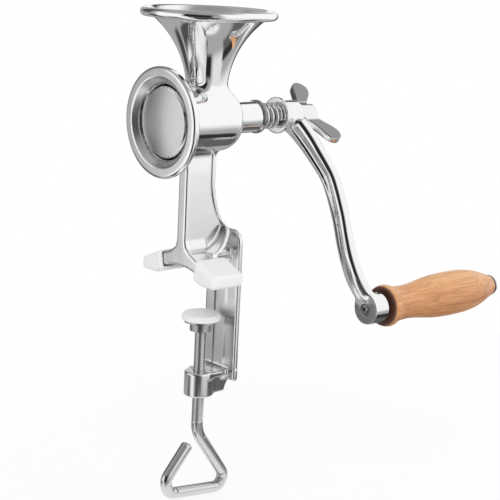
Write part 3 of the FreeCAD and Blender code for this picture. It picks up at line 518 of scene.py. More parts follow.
def join(a, b, blend):
    """Union of two fields with a fillet about as large as blend."""
    share = np.clip(0.5 + 0.5 * (b - a) / blend, 0, 1)
    return b * (1 - share) + a * share - blend * share * (1 - share)


def keep(a, b, blend):
    """What two fields share, with edges rounded by about blend."""
    return -join(-a, -b, blend)


def take(a, b, blend):
    """The first field without the second, with edges rounded by about blend."""
    return keep(a, -b, blend)


def slab(value, low, high):
    """Distance to the space between two planes."""
    return np.abs(value - (low + high) / 2) - (high - low) / 2


CELL_CORNERS = [(i, j, k) for i in (0, 1) for j in (0, 1) for k in (0, 1)]


def sample(field, low, counts, cell):
    """The field's values on a grid; far from the surface a coarse value stands in."""
    block = 4
    spots = [low[i] + cell * np.arange(0, count + block, block) for i, count in enumerate(counts)]
    x, y, z = np.meshgrid(*spots, indexing="ij")
    rough = field(x.ravel(), y.ravel(), z.ravel()).reshape(x.shape)

    def spread(coarse):
        fine = np.kron(coarse, np.ones((block,) * 3, coarse.dtype))
        return np.roll(fine, (-(block // 2),) * 3, (0, 1, 2))[tuple(map(slice, counts))]

    values = spread(rough)
    i, j, k = np.nonzero(spread(np.abs(rough) < cell * block * 2.2))
    values[i, j, k] = field(low[0] + cell * i, low[1] + cell * j, low[2] + cell * k)
    return values


def gradient(field, points, reach):
    """Slope of the field at points, by central differences."""
    slope = np.empty_like(points)
    for axis in range(3):
        step = np.zeros(3)
        step[axis] = reach
        ahead, behind = (points + step).T, (points - step).T
        slope[:, axis] = (field(*ahead) - field(*behind)) / (2 * reach)
    return slope


def skin(field, low, high, cell):
    """Points, quads and normals of the field's surface, by surface nets on a grid of cells."""
    low = np.array(low, float)
    counts = np.ceil((np.array(high) - low) / cell).astype(int) + 1
    values = sample(field, low, counts, cell)
    solid = values < 0
    shape = counts - 1
    filled = sum(solid[tuple(slice(i, i + size) for i, size in zip(corner, shape))].astype(np.int8)
                 for corner in CELL_CORNERS)
    cells = np.argwhere((filled > 0) & (filled < 8))
    number = np.full(shape, -1, np.int64)
    number[tuple(cells.T)] = np.arange(len(cells))
    total = np.zeros((len(cells), 3))
    hits = np.zeros(len(cells))
    for first in CELL_CORNERS:
        for axis in range(3):
            if first[axis]:
                continue
            second = tuple(1 if i == axis else first[i] for i in range(3))
            a = values[tuple((cells + first).T)]
            b = values[tuple((cells + second).T)]
            crossed = (a < 0) != (b < 0)
            share = np.where(crossed, a / np.where(crossed, a - b, 1.0), 0.0)
            spot = np.array(first, float) + share[:, None] * np.eye(3)[axis]
            total += np.where(crossed[:, None], spot, 0.0)
            hits += crossed
    points = low + cell * (cells + total / hits[:, None])
    quads = []
    for axis in range(3):
        u, v = (axis + 1) % 3, (axis + 2) % 3
        edges = np.argwhere(np.diff(solid, axis=axis))
        inner = [(edges[:, side] > 0) & (edges[:, side] < shape[side]) for side in (u, v)]
        edges = edges[inner[0] & inner[1]]
        back_u, back_v = np.eye(3, dtype=int)[u], np.eye(3, dtype=int)[v]
        ring = [edges - back_u - back_v, edges - back_v, edges, edges - back_u]
        ring = np.stack([number[tuple(spot.T)] for spot in ring], axis=1)
        leaving = solid[tuple(edges.T)]
        quads.append(np.where(leaving[:, None], ring, ring[:, ::-1]))
    quads = np.concatenate(quads)
    points = settle(field, points, quads, cell)
    normals = gradient(field, points, 0.2)
    normals /= np.linalg.norm(normals, axis=1)[:, None]
    return points, quads, normals


def settle(field, points, quads, cell):
    """Evens out the mesh along the surface and puts its points exactly on it."""
    pairs = np.concatenate([quads[:, [i, (i + 1) % 4]] for i in range(4)])
    for turn in range(4):
        if turn:
            total = np.stack([np.bincount(pairs[:, 0], points[pairs[:, 1], i], len(points))
                              for i in range(3)], axis=1)
            count = np.bincount(pairs[:, 0], minlength=len(points))[:, None]
            pull = total / np.maximum(count, 1) - points
            slope = gradient(field, points, 0.1)
            slope /= np.linalg.norm(slope, axis=1)[:, None] + 1e-12
            points = points + 0.6 * (pull - slope * (pull * slope).sum(1)[:, None])
        for _ in range(2):
            slope = gradient(field, points, 0.05)
            size = (slope * slope).sum(1)
            move = (field(*points.T) / np.maximum(size, 0.1))[:, None] * slope
            points = points - np.clip(move, -cell / 2, cell / 2)
    return points


def add_object(name, data):
    """A new object in the scene."""
    item = bpy.data.objects.new(name, data)
    bpy.context.scene.collection.objects.link(item)
    return item


def mesh_object(name, points, faces, normals=None):
    """A smooth-shaded mesh object from points of the part's frame."""
    mesh = bpy.data.meshes.new(name)
    mesh.from_pydata(points.tolist(), [], faces)
    mesh.polygons.foreach_set("use_smooth", [True] * len(mesh.polygons))
    if normals is not None:
        mesh.normals_split_custom_set_from_vertices(normals.tolist())
    mesh.validate()
    mesh.update()
    return add_object(name, mesh)


def cast_piece(name, field, low, high, cell, turn=0.0):
    """A piece whose surface is a field's, turned about the shaft where it is drawn upright."""
    points, quads, normals = skin(field, low, high, cell)
    if turn:
        points, normals = turned(points, turn), turned(normals, turn)
    return mesh_object(name, to_part(points), quads.tolist(), normals)


def barrel_outline():
    """Flange, bell, barrel and neck, turned about the shaft."""
    barrel_end = BARREL_END - BARREL_ROUND
    drop = NECK_RADIUS - BARREL_RADIUS + BARREL_ROUND
    neck_start = barrel_end + math.sqrt(BARREL_ROUND ** 2 - drop ** 2)
    half = path(
        (0, 0), (0, FLANGE_RADIUS - FLANGE_ROUND),
        (FLANGE_ROUND, FLANGE_RADIUS, FLANGE_ROUND, 8),
        (FLANGE_DEPTH - BACK_ROUND, FLANGE_RADIUS),
        (FLANGE_DEPTH, FLANGE_RADIUS - BACK_ROUND, BACK_ROUND, 6),
        (BELL_START, BELL_RADIUS), (BELL_END, BELL_END_RADIUS, BELL_CURVE, 8),
        (BARREL_START, BARREL_RADIUS, BELL_FILLET, 8), (barrel_end, BARREL_RADIUS),
        (neck_start, NECK_RADIUS, BARREL_ROUND, 16), (NECK_END, NECK_RADIUS), (NECK_END, 0))
    return Outline(mirrored(half), CAST_SOFT)


def hopper_outline():
    """Outside of the funnel with its rim bead, across and up from the hopper's axis."""
    bead_low = HOPPER_TOP - 2 * BEAD_RADIUS
    flare_end = FLARE_CENTRE - math.sqrt(FLARE_RADIUS ** 2 - (bead_low - FLARE_START) ** 2)
    throat = THROAT_BORE + HOPPER_WALL
    rim = HOPPER_RADIUS - BEAD_RADIUS
    half = path(
        (throat, 0), (throat, FLARE_START), (flare_end, bead_low, FLARE_RADIUS, 24),
        (rim, bead_low), (rim + BEAD_RADIUS, bead_low + BEAD_RADIUS, -BEAD_RADIUS, 8),
        (rim, HOPPER_TOP, -BEAD_RADIUS, 8))
    return Outline(half + reflected(half))


def funnel_outline():
    """Inside of the funnel, up past its top."""
    flare = FLARE_RADIUS + HOPPER_WALL
    lip = FLARE_CENTRE - math.sqrt(flare ** 2 - (HOPPER_TOP - FLARE_START) ** 2)
    brim = lip + LIP_CHAMFER
    half = path(
        (THROAT_BORE, 5), (THROAT_BORE, FLARE_START), (lip, HOPPER_TOP, flare, 24),
        (brim, HOPPER_TOP + LIP_CHAMFER), (brim, HOPPER_TOP + 6))
    return Outline(half + reflected(half))


def bore_outline():
    """Mouth, ring seat, feed bore and neck bore, turned about the shaft."""
    half = [(-8, 0), (-8, FACE_RING_RADIUS), (0, FACE_RING_RADIUS), (RING_FRONT, RING_SEAT)]
    half += [(RING_BACK, RING_SEAT), (RING_BACK, BARREL_BORE), (BORE_END, BARREL_BORE)]
    half += [(BORE_END, NECK_BORE), (NECK_END + 6, NECK_BORE), (NECK_END + 6, 0)]
    return Outline(mirrored(half), soften=0.25)


def leg_front_curve(shift):
    """Front surface of the rear flange from the barrel down to the deck, moved back."""
    return path(
        (LEG_BACK + shift, LEG_TOP), (LEG_BACK + shift, LEG_BEND),
        (HEEL_BACK + shift, HEEL_HEIGHT, -LEG_CURVE, 12),
        (FOOT_BACK + shift, DECK_TOP, HEEL_CURVE, 12))


def leg_field():
    """Rear flange with the web before it, the arms of the feet and the deck."""
    back = [(FOOT_BACK, DECK_TOP - SHEET)]
    back += arc((FOOT_BACK + SHEET, DECK_TOP - SHEET), (HEEL_BACK + SHEET, HEEL_HEIGHT - 0.8),
                -HEEL_CURVE - SHEET, 12)
    back += arc(back[-1], (LEG_BACK + SHEET, LEG_BEND), LEG_CURVE - SHEET, 12)
    flange = Outline(leg_front_curve(0.0) + back + [(LEG_BACK + SHEET, LEG_TOP)])
    web = leg_front_curve(WEB_LAP) + [(FOOT_BACK, DECK_TOP - 2), (FOOT_BACK, DECK_BOTTOM)]
    web = Outline(web + [(LEG_FRONT + 6, DECK_BOTTOM), (LEG_FRONT + 6, LEG_TOP)], soften=0.4)
    side = [(WEB_HALF, LEG_TOP), (WEB_HALF, WEB_FOOT), *FOOT_CROWN, *FOOT_UNDERSIDE]
    arch = arc(side[-1], reflected(side)[0], -FOOT_ARCH, 20)
    feet = Outline(side + arch + reflected(side[:-1]), soften=0.8)
    drops = np.linspace(FLARE_DROPS[0] - 4, FLARE_DROPS[-1], 90)
    halves = blurred_line(np.interp(drops, FLARE_DROPS, FLARE_HALVES), 6)

    def field(x, y, z):
        across = np.abs(y)
        sides = (across - np.interp(-z, drops, halves)) * FLARE_LEAN
        column = keep(feet(y, z), slab(x, LEG_FRONT, ARM_BACK), PLATE_EDGE)
        column = np.minimum(column, keep(web(x, z), across - WEB_HALF, WEB_EDGE))
        legs = join(keep(flange(x, z), sides, SHEET_EDGE), column, WEB_FILLET)
        deck = slab(x, FOOT_BACK - 3, SPINE_FRONT + 2)
        deck = keep(slab(z, DECK_BOTTOM, DECK_TOP), deck, DECK_EDGE)
        beside = across - np.interp(x, DECK_STEP, (WIDE_HALF, DECK_HALF))
        return join(legs, keep(deck, beside, CAST_EDGE), DECK_FILLET)

    return field


def clamp_field():
    """Spine and rib behind the table's edge, with the jaw and the screw's boss below it."""
    low, high = JAW_BOTTOM + JAW_CORNER, SPINE_TOP - SPINE_CORNER
    plate = Outline(path(
        (-SPINE_HALF, low), (SPINE_HALF, low), (SPINE_HALF, high),
        (SPINE_HALF - SPINE_CORNER, SPINE_TOP, -SPINE_CORNER, 10),
        (SPINE_CORNER - SPINE_HALF, SPINE_TOP), (-SPINE_HALF, high, -SPINE_CORNER, 10)), CAST_SOFT)
    rib = Outline(path(
        (SPINE_FRONT + 1, RIB_TOP), (SPINE_BACK + 1, RIB_TOP), (RIB_BACK, RIB_TOP - RIB_SLOPE),
        (RIB_BACK, low), (RIB_BACK - JAW_CORNER, JAW_BOTTOM, -JAW_CORNER, 10),
        (SCREW_REACH, JAW_BOTTOM), (SCREW_REACH, JAW_TOP - 1),
        (SPINE_FRONT + 1, JAW_TOP - 1)), CAST_SOFT)
    jaw = [(SCREW_REACH, -JAW_HALF), (SPINE_FRONT, -JAW_HALF), (SPINE_BACK - 2, 0.5 - SPINE_HALF)]
    jaw = Outline(mirrored(jaw), CAST_SOFT)

    def field(x, y, z):
        spine = keep(plate(y, z), slab(x, SPINE_FRONT, SPINE_BACK), PLATE_EDGE)
        spine = join(spine, keep(rib(x, z), np.abs(y) - WEB_HALF, CAST_EDGE), RIB_FILLET)
        shelf = keep(jaw(x, y), slab(z, JAW_TOP - JAW_PLATE, JAW_TOP), SHEET_EDGE)
        boss = np.hypot(x - SCREW_REACH, y) - BOSS_RADIUS
        boss = keep(boss, slab(z, JAW_BOTTOM, JAW_TOP), CAST_EDGE)
        return join(spine, join(shelf, boss, BOSS_FILLET), RIB_FILLET)

    return field


def casting_field():
    """The whole casting as one field of X, Y and Z in the mill's frame."""
    barrel, hopper = barrel_outline(), hopper_outline()
    legs, clamp = leg_field(), clamp_field()
    bore, funnel = bore_outline(), funnel_outline()

    def field(x, y, z):
        radius = np.hypot(y, z)
        from_hopper = np.hypot(x - HOPPER_REACH, y)
        body = join(barrel(x, radius), hopper(from_hopper, z), THROAT_FILLET)
        body = join(body, legs(x, y, z), LEG_FILLET)
        body = join(body, clamp(x, y, z), SPINE_FILLET)
        body = take(body, bore(x, radius), BORE_EDGE)
        body = take(body, funnel(from_hopper, z), BORE_EDGE)
        hole = np.hypot(x - SCREW_REACH, y) - SCREW_HOLE
        return take(body, hole + np.maximum(z - SCREW_HOLE_TOP, 0), HOLE_EDGE)

    return field


def ring_faces(count, segments):
    """Faces of a closed tube from rings of points."""
    faces = []
    for ring in range(count - 1):
        for index in range(segments):
            after = (index + 1) % segments
            a, b = ring * segments, (ring + 1) * segments
            faces.append((a + index, a + after, b + after, b + index))
    faces.append(tuple(range(segments))[::-1])
    faces.append(tuple((count - 1) * segments + index for index in range(segments)))
    return faces


def lathe(name, half, turn=0.0, centre=(0.0, 0.0), segments=96):
    """A turned piece from half an outline of (along, radius) pairs, about an axis along X."""
    rings = np.array(half, float)
    angles = 2 * math.pi * np.arange(segments) / segments
    along = np.repeat(rings[:, 0], segments)
    across = np.outer(rings[:, 1], np.cos(angles)).ravel()
    up = np.outer(rings[:, 1], np.sin(angles)).ravel()
    points = np.stack([along, across + centre[0], up + centre[1]], axis=1)
    faces = [face[::-1] for face in ring_faces(len(rings), segments)]
    return mesh_object(name, to_part(turned(points, turn)), faces)


def sweep(points, radius, segments=24):
    """Rings of a round section carried along a line without twisting, with their normals."""
    points = np.asarray(points, float)
    ways = np.gradient(points, axis=0)
    ways /= np.linalg.norm(ways, axis=1)[:, None]
    side = np.cross(ways[0], (0.0, 1.0, 0.3))
    angles = 2 * math.pi * np.arange(segments) / segments
    rings = []
    for point, way in zip(points, ways):
        side = side - way * (side @ way)
        side /= np.linalg.norm(side)
        up = np.cross(way, side)
        rings.append(np.outer(np.cos(angles), side) + np.outer(np.sin(angles), up))
    rings = np.array(rings)
    radius = np.asarray(radius, float)
    if radius.ndim < 2:
        radius = np.broadcast_to(np.reshape(radius, (-1, 1)), (len(points), segments))
    return points[:, None, :] + rings * radius[:, :, None]


def tube_object(name, rings, turn=0.0):
    """A closed tube from rings of points."""
    points = to_part(turned(rings.reshape(-1, 3), turn))
    return mesh_object(name, points, ring_faces(*rings.shape[:2]))


def smooth_curve(marks, values, spots):
    """A curve through values at marks whose slope doesn't overshoot."""
    marks, values = np.array(marks, float), np.array(values, float)
    slopes = np.diff(values) / np.diff(marks)
    tangents = np.zeros(len(marks))
    tangents[0], tangents[-1] = slopes[0], slopes[-1]
    for i in range(1, len(marks) - 1):
        if slopes[i - 1] * slopes[i] > 0:
            tangents[i] = 2 / (1 / slopes[i - 1] + 1 / slopes[i])
    index = np.clip(np.searchsorted(marks, spots) - 1, 0, len(marks) - 2)
    width = np.diff(marks)[index]
    share = (spots - marks[index]) / width
    square, cube = share ** 2, share ** 3
    step = 3 * square - 2 * cube
    lean = (cube - 2 * square + share) * tangents[index] + (cube - square) * tangents[index + 1]
    return values[index] * (1 - step) + values[index + 1] * step + width * lean


def blurred_line(line, reach):
    """A running mean that keeps the ends of a line of values."""
    wide = np.pad(line, reach, mode="reflect", reflect_type="odd")
    weights = np.hanning(2 * reach + 3)[1:-1]
    return np.convolve(wide, weights / weights.sum(), mode="valid")


def crank_field():
    """Hub, bowed arm and boss of the crank, with the arm hanging straight down."""
    share, bow, rise, wide, thick = np.array(ARM_STATIONS).T
    marks = share * CRANK_RADIUS
    fine = np.linspace(marks[0], marks[-1], 400)
    boss_back = EYE_FRONT + EYE_LENGTH
    climb = EYE_FRONT + EYE_LENGTH / 2 - ARM_START
    curves = (ARM_START + climb * rise, -CRANK_BOW * bow, ARM_WIDTH * wide / 2,
              ARM_THICKNESS * thick / 2)
    lines = [blurred_line(smooth_curve(marks, curve, fine), ARM_BLUR) for curve in curves]
    disc_end = HUB_START + HUB_DISC
    hub = path(
        (HUB_START, 0), (HUB_START, HUB_DISC_RADIUS), (disc_end, HUB_DISC_RADIUS),
        (disc_end, HUB_RADIUS), (HUB_END - HUB_ROUND, HUB_END_RADIUS),
        (HUB_END, HUB_END_RADIUS - HUB_ROUND, HUB_ROUND, 8), (HUB_END, 0))
    hub = Outline(mirrored(hub), SHARP_SOFT, FINE_STEP)
    boss = [(EYE_FRONT, 0), (EYE_FRONT, EYE_RIM)]
    boss = Outline(mirrored(boss + [(boss_back, EYE_RIM), (boss_back, 0)]), 0.45, FINE_STEP)

    def field(x, y, z):
        spot = np.clip(-z, marks[0], marks[-1])
        level, across, wide, thick = (np.interp(spot, fine, line) for line in lines)
        u, v = np.abs((y - across) / wide), np.abs((x - level) / thick)
        ring = (u ** ARM_SQUARENESS + v ** ARM_SQUARENESS + 1e-9) ** (1 / ARM_SQUARENESS)
        arm = (ring - 1) * np.minimum(wide, thick) * ARM_LEAN
        arm = keep(arm, np.abs(-z - spot) - ARM_LAP, ARM_LAP)
        u, v = (y - across) / GROOVE_WIDTH, (x - level + thick) / GROOVE_DEPTH
        past = np.maximum(0, np.abs(spot - GROOVE_MIDDLE) / GROOVE_HALF - GROOVE_EVEN)
        groove = (np.hypot(u, v) - 1) * GROOVE_LEAN + GROOVE_DEPTH * past
        arm = take(arm, groove, HOLE_EDGE)
        shaft = np.hypot(y, z)
        body = join(hub(x, shaft), arm, HUB_FILLET)
        body = take(body, np.maximum(shaft - NUT_SEAT, HUB_END - x), CUT_EDGE)
        pin = np.hypot(y, z + CRANK_RADIUS)
        body = join(body, boss(x, pin), EYE_FILLET)
        hole = np.maximum(pin - PIN_BORE, np.abs(x - EYE_FRONT) - PIN_BORE_DEPTH)
        body = take(body, hole, WEB_EDGE)
        return take(body, np.maximum(np.abs(y), np.abs(z)) - SQUARE_HALF, CUT_EDGE)

    return field


def nut_field():
    """Nut with two wings that lean back, drawn with the wings level."""
    seat = HUB_END + NUT_GAP
    collar, collar_end = NUT_RADIUS + NUT_COLLAR, seat + NUT_COLLAR_END
    nut = path(
        (seat, 0), (seat, collar), (collar_end, collar), (collar_end + 1, NUT_RADIUS),
        (NUT_END - NUT_ROUND, NUT_END_RADIUS),
        (NUT_END, NUT_END_RADIUS - NUT_ROUND, NUT_ROUND, 6), (NUT_END, 0))
    nut = Outline(mirrored(nut), SHARP_SOFT, FINE_STEP)
    root = np.array((seat + WING_START, NUT_RADIUS - WING_SINK))
    tip = np.array((WING_RISE, WING_REACH))
    length = np.linalg.norm(tip - root)
    way = (tip - root) / length

    def field(x, y, z):
        across = np.abs(y)
        along = (x - root[0]) * way[0] + (across - root[1]) * way[1]
        off = (x - root[0]) * way[1] - (across - root[1]) * way[0]
        share = np.clip(along / length, 0, 1)
        half = WING_HALF - WING_WAIST * share + WING_TIP * np.sin(math.pi / 2 * share) ** 4
        blade = np.hypot(along - share * length, off) - half
        thick = WING_THICKNESS / 2 - WING_TAPER * share
        wings = keep(blade, np.abs(z) - thick, WING_EDGE)
        radius = np.hypot(y, z)
        body = join(nut(x, radius), wings, WING_FILLET)
        bore = np.maximum(radius - THREAD_RADIUS - NUT_CLEARANCE, x - NUT_BORE_END)
        return take(body, bore, CUT_EDGE)

    return field


def foot_field(side):
    """Soft cap over the end of one foot."""
    ground = -SHAFT_HEIGHT
    profile = Outline([
        (CAP_INNER, ground + CAP_UNDERCUT), (CAP_INNER + UNDERCUT_REACH, ground),
        (CAP_OUTER - CAP_CHAMFER, ground), (CAP_OUTER, ground + CAP_CHAMFER),
        (CAP_OUTER, CAP_SIDE_TOP), (CAP_CREST, CAP_TOP)], soften=0.7)
    socket = Outline(CAP_SOCKET, soften=0.2)

    def field(x, y, z):
        shell = keep(profile(side * y, z), slab(x, CAP_FRONT, CAP_BACK), CAP_ROUND)
        length = slab(x, LEG_FRONT - CAP_CLEARANCE, ARM_BACK + CAP_CLEARANCE)
        return take(shell, np.maximum(socket(side * y, z), length), CUT_EDGE)

    return field


def spring_line(steps):
    """Middle line of the spring's wire; its pitch closes towards both ends."""
    start = NECK_END + WASHER_DEPTH + SPRING_GAP + SPRING_WIRE
    rise = HUB_START - SPRING_WIRE - SPRING_GAP - start
    turns = np.linspace(-SPRING_TAIL, SPRING_TURNS + SPRING_TAIL, steps)
    share = np.clip(turns / SPRING_TURNS, 0, 1)
    spare = rise - SPRING_PITCH * SPRING_TURNS
    reach = start + SPRING_PITCH * share * SPRING_TURNS + spare * share ** 2 * (3 - 2 * share)
    angle = 2 * math.pi * turns
    return np.stack([reach, SPRING_RADIUS * np.cos(angle), SPRING_RADIUS * np.sin(angle)], axis=1)


def loop_line():
    """Middle line of the screw: down through the pad and jaw, then round the loop."""
    spots = [np.array((SCREW_REACH + x, z)) for x, z, _ in SCREW_LOOP]
    line = [spots[0]]
    for before, corner, after, (_, _, radius) in zip(spots, spots[1:], spots[2:], SCREW_LOOP[1:]):
        back, ahead = ((end - corner) / np.linalg.norm(end - corner) for end in (before, after))
        bend = math.pi - math.acos(back @ ahead)
        start, end = (corner + way * radius * math.tan(bend / 2) for way in (back, ahead))
        side = math.copysign(radius, back[0] * ahead[1] - back[1] * ahead[0])
        line += [start, *arc(start, end, side, max(6, int(bend * radius / 1.2)))]
    return np.array(line + [spots[-1]])


def screw_line():
    """The screw's middle line, with close steps along the thread, in X, Y and Z."""
    below = loop_line()[1:]
    marks = np.linalg.norm(np.diff(below, axis=0), axis=1)
    marks = np.concatenate([[0], np.cumsum(marks)])
    spots = np.linspace(0, marks[-1], int(marks[-1]))
    spots = np.unique(np.concatenate([spots, marks]))
    lower = np.stack([np.interp(spots, marks, below[:, i]) for i in (0, 1)], axis=1)
    threaded = np.arange(SCREW_TOP, THREAD_END, -THREAD_PITCH / 8)
    plain = np.arange(THREAD_END, lower[0][1] + 0.5, -1.5)
    column = [(SCREW_REACH, z) for z in np.concatenate([threaded, plain])]
    line = np.concatenate([column, lower])
    return np.stack([line[:, 0], np.zeros(len(line)), line[:, 1]], axis=1)


def clamp_screw():
    """Rod with a cut thread above and a bent loop below, as one unbroken surface."""
    points = screw_line()
    segments = 32
    height = points[:, 2:]
    phase = (height / THREAD_PITCH + np.arange(segments) / segments) % 1.0
    groove = np.clip(THREAD_ROOT - np.abs(2 * phase - 1) * THREAD_FLANK, 0, 1)
    depth = THREAD_DEPTH * np.clip((height - THREAD_END) / THREAD_RUNOUT, 0, 1)
    depth = depth * np.clip((SCREW_TOP - height + 0.2) / 0.6, 0.3, 1)
    radius = THREAD_RADIUS - groove * depth
    for ring, share in ((0, 0.88), (-2, 0.95), (-1, 0.512)):
        radius[ring] *= share
    item = tube_object("screw", sweep(points, radius, segments))
    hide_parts("clamp_screw")
    dress(item, "screw_steel", "screw")


def grip_profile():
    """Half outline of the turned grip, from its collar to its end, where a dark ring of painted
    shade fills the gap before the cap.
    """
    marks = [along for along, _ in GRIP_SHAPE]
    fine = np.linspace(marks[0], marks[-1], 180)
    radii = smooth_curve(marks, [radius for _, radius in GRIP_SHAPE], fine)
    radii[3:-3] = blurred_line(radii, 3)[3:-3]
    half = [(GRIP_START, GRIP_BORE), (GRIP_START + 0.25, GRIP_SHAPE[0][1] - 0.5)]
    half += [(GRIP_START + along, radius) for along, radius in zip(fine, radii)]
    return half + [(GRIP_START + GRIP_LENGTH, GRIP_BORE)]


def spring_seat():
    """Washer on the neck's end, with rounded edges."""
    face = NECK_END + WASHER_DEPTH
    edge = [(0, WASHER_BORE), (0, WASHER_RADIUS - 0.5), (0.2, WASHER_RADIUS - 0.15)]
    edge += [(0.6, WASHER_RADIUS)]
    half = [(NECK_END + x, r) for x, r in edge] + [(face - x, r) for x, r in reversed(edge)]
    item = lathe("spring_seat", half)
    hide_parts("spring_washer")
    dress(item, "polished_nut", "stand")


def grip():
    """Wooden grip."""
    item = lathe("grip", grip_profile(), CRANK_TURN, EYE_CENTRE, 128)
    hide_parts("wooden_grip")
    dress(item, "oiled_wood", "grip")


def pin():
    """The grip's pin, with a rounded rim round the dimple in its end."""
    low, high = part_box("grip_pin")
    front, back = (edge[0] / MM + SCREW_REACH for edge in (low, high))
    half = [(PIN_DIMPLE, 0.3), (0.5, PIN_RADIUS - 1.3), (0, PIN_RADIUS - 0.9)]
    half += [(0, PIN_RADIUS - 0.5), (0.15, PIN_RADIUS - 0.15), (0.6, PIN_RADIUS)]
    half = [(front + x, r) for x, r in half] + [(back, PIN_RADIUS)]
    item = lathe("pin", half, CRANK_TURN, EYE_CENTRE, 64)
    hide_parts("grip_pin")
    dress(item, "pin_steel", "crank")


def end_cap():
    """A dark ring, painted shade in the gap between the grip and its cap, and the domed cap at the
    grip's end.
    """
    foot = GRIP_START + GRIP_LENGTH + COLLAR_GAP
    half = [(0, 4.2), (0, COLLAR_RADIUS - 0.4), (0.3, COLLAR_RADIUS), (1.5, COLLAR_RADIUS)]
    half += [(COLLAR_LENGTH, COLLAR_RADIUS - 0.5), (COLLAR_LENGTH, 6.0)]
    item = lathe("shaded_gap_ring", [(foot + x, r) for x, r in half], CRANK_TURN, EYE_CENTRE)
    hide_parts("grip_end_cap")
    # Painted shade: the ring takes near-black steel in place of the cap's chrome
    dress(item, "cap_chrome", "crank", look="painted_shade_steel")
    half = [(0, 4.05), (0, CAP_RADIUS - 1.2), (0.5, CAP_RADIUS - 1.1), (0.9, CAP_RADIUS - 0.25)]
    half += [(1.3, CAP_RADIUS), (CAP_EDGE, CAP_RADIUS - 0.1)]
    half += [(CAP_EDGE + (CAP_LENGTH - CAP_EDGE) * math.sin(a), (CAP_RADIUS - 0.1) * math.cos(a))
             for a in np.linspace(0.12, math.pi / 2 - 0.02, 12)]
    half = [(foot + CAP_START + x, r) for x, r in half]
    item = lathe("grip_cap", half, CRANK_TURN, EYE_CENTRE)
    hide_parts("grip_end_cap")
    dress(item, "cap_chrome", "crank")


def dress(item, slot, body, look=None):
    """Gives a piece its material and the body that it moves with."""
    item.data.materials.append(MATERIALS[look or slot])
    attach(item, body)


def put(tree, socket, value):
    """Links another socket to a socket, or sets it to a value."""
    if isinstance(value, bpy.types.NodeSocket):
        tree.links.new(value, socket)
    else:
        socket.default_value = value


def add_node(tree, kind, sockets=(), **settings):
    """A new shader node with its settings, and values or other sockets on its own sockets."""
    made = tree.nodes.new("ShaderNode" + kind)
    for name, value in settings.items():
        setattr(made, name, value)
    for name, value in dict(sockets).items():
        put(tree, made.inputs[name], value)
    return made


def shader(name, colour, **sockets):
    """A new principled material with its base values set on the shader."""
    material = bpy.data.materials.new(name)
    material.use_nodes = True
    surface = material.node_tree.nodes["Principled BSDF"]
    surface.inputs["Base Color"].default_value = (*colour, 1.0)
    for socket, value in sockets.items():
        surface.inputs[socket.replace("_", " ")].default_value = value
    return material, material.node_tree, surface


def math_node(tree, kind, *values):
    """A math node on values or sockets."""
    return add_node(tree, "Math", enumerate(values), operation=kind).outputs[0]


def vector_node(tree, kind, *values):
    """A vector math node on values or sockets."""
    return add_node(tree, "VectorMath", enumerate(values), operation=kind).outputs


def mixed(tree, share, first, second, **settings):
    """A value or colour that fades into another by a share."""
    sockets = {"Factor": share, "A": first, "B": second}
    return add_node(tree, "Mix", sockets, **settings).outputs["Result"]


def fade(tree, value, start, end, first=1.0, last=0.0):
    """A smooth change from first to last as a value goes from start to end."""
    sockets = {"Value": value, "From Min": start, "From Max": end, "To Min": first, "To Max": last}
    return add_node(tree, "MapRange", sockets, interpolation_type="SMOOTHSTEP").outputs["Result"]


def own_place(tree):
    """A point's place in its object's own coordinates, in metres."""
    return add_node(tree, "TexCoord").outputs["Object"]


def noise(tree, scale, detail=3.0, stretch=(1, 1, 1), roughness=0.5):
    """Noise over the object's own coordinates, in metres."""
    mapping = add_node(tree, "Mapping", {"Vector": own_place(tree), "Scale": stretch})
    sockets = {"Vector": mapping.outputs["Vector"], "Scale": scale, "Detail": detail}
    return add_node(tree, "TexNoise", {**sockets, "Roughness": roughness}).outputs["Fac"]


def ramp(tree, value, stops):
    """A colour ramp from pairs of place and colour, or grey level."""
    made = add_node(tree, "ValToRGB", {"Fac": value})
    elements = made.color_ramp.elements
    while len(elements) < len(stops):
        elements.new(0.5)
    for element, (spot, colour) in zip(elements, stops):
        element.position = spot
        element.color = (*(colour if hasattr(colour, "__len__") else [colour] * 3), 1.0)
    return made.outputs["Color"]


def bump(tree, surface, height, distance, strength=1.0):
    """Bump from a height, in metres."""
    sockets = {"Height": height, "Distance": distance, "Strength": strength}
    put(tree, surface.inputs["Normal"], add_node(tree, "Bump", sockets).outputs["Normal"])


def polished(name):
    """Polished metal with faint waves of the casting and finer scatter of its gloss."""
    colour, low, high, wave = METALS[name]
    material, tree, surface = shader(name, colour, Metallic=1.0)
    gloss = ramp(tree, noise(tree, 160.0, 5.0), [(0.3, low), (0.7, high)])
    put(tree, surface.inputs["Roughness"], gloss)
    bump(tree, surface, noise(tree, 55.0, 1.0), wave)
    return material


def along_way(tree, centre, way):
    """How far a point of the surface lies from a centre along one direction."""
    offset = vector_node(tree, "SUBTRACT", own_place(tree), centre)["Vector"]
    return vector_node(tree, "DOT_PRODUCT", offset, way)["Value"]


def axis_distance(tree, centre):
    """Distance of a point of the surface from an axis along X through a centre."""
    aside = along_way(tree, centre, (0, 1, 0))
    above = along_way(tree, centre, (0, 0, 1))
    square = math_node(tree, "MULTIPLY", aside, aside)
    return math_node(tree, "SQRT", math_node(tree, "MULTIPLY_ADD", above, above, square))


def within(tree, distance, start, end):
    """One where a distance is under start, in millimetres, fading to nothing at end."""
    return fade(tree, distance, start * MM, end * MM)


def beyond(tree, distance, start, end):
    """Nothing where a distance is under start, in millimetres, rising to one at end."""
    return fade(tree, distance, start * MM, end * MM, 0.0, 1.0)


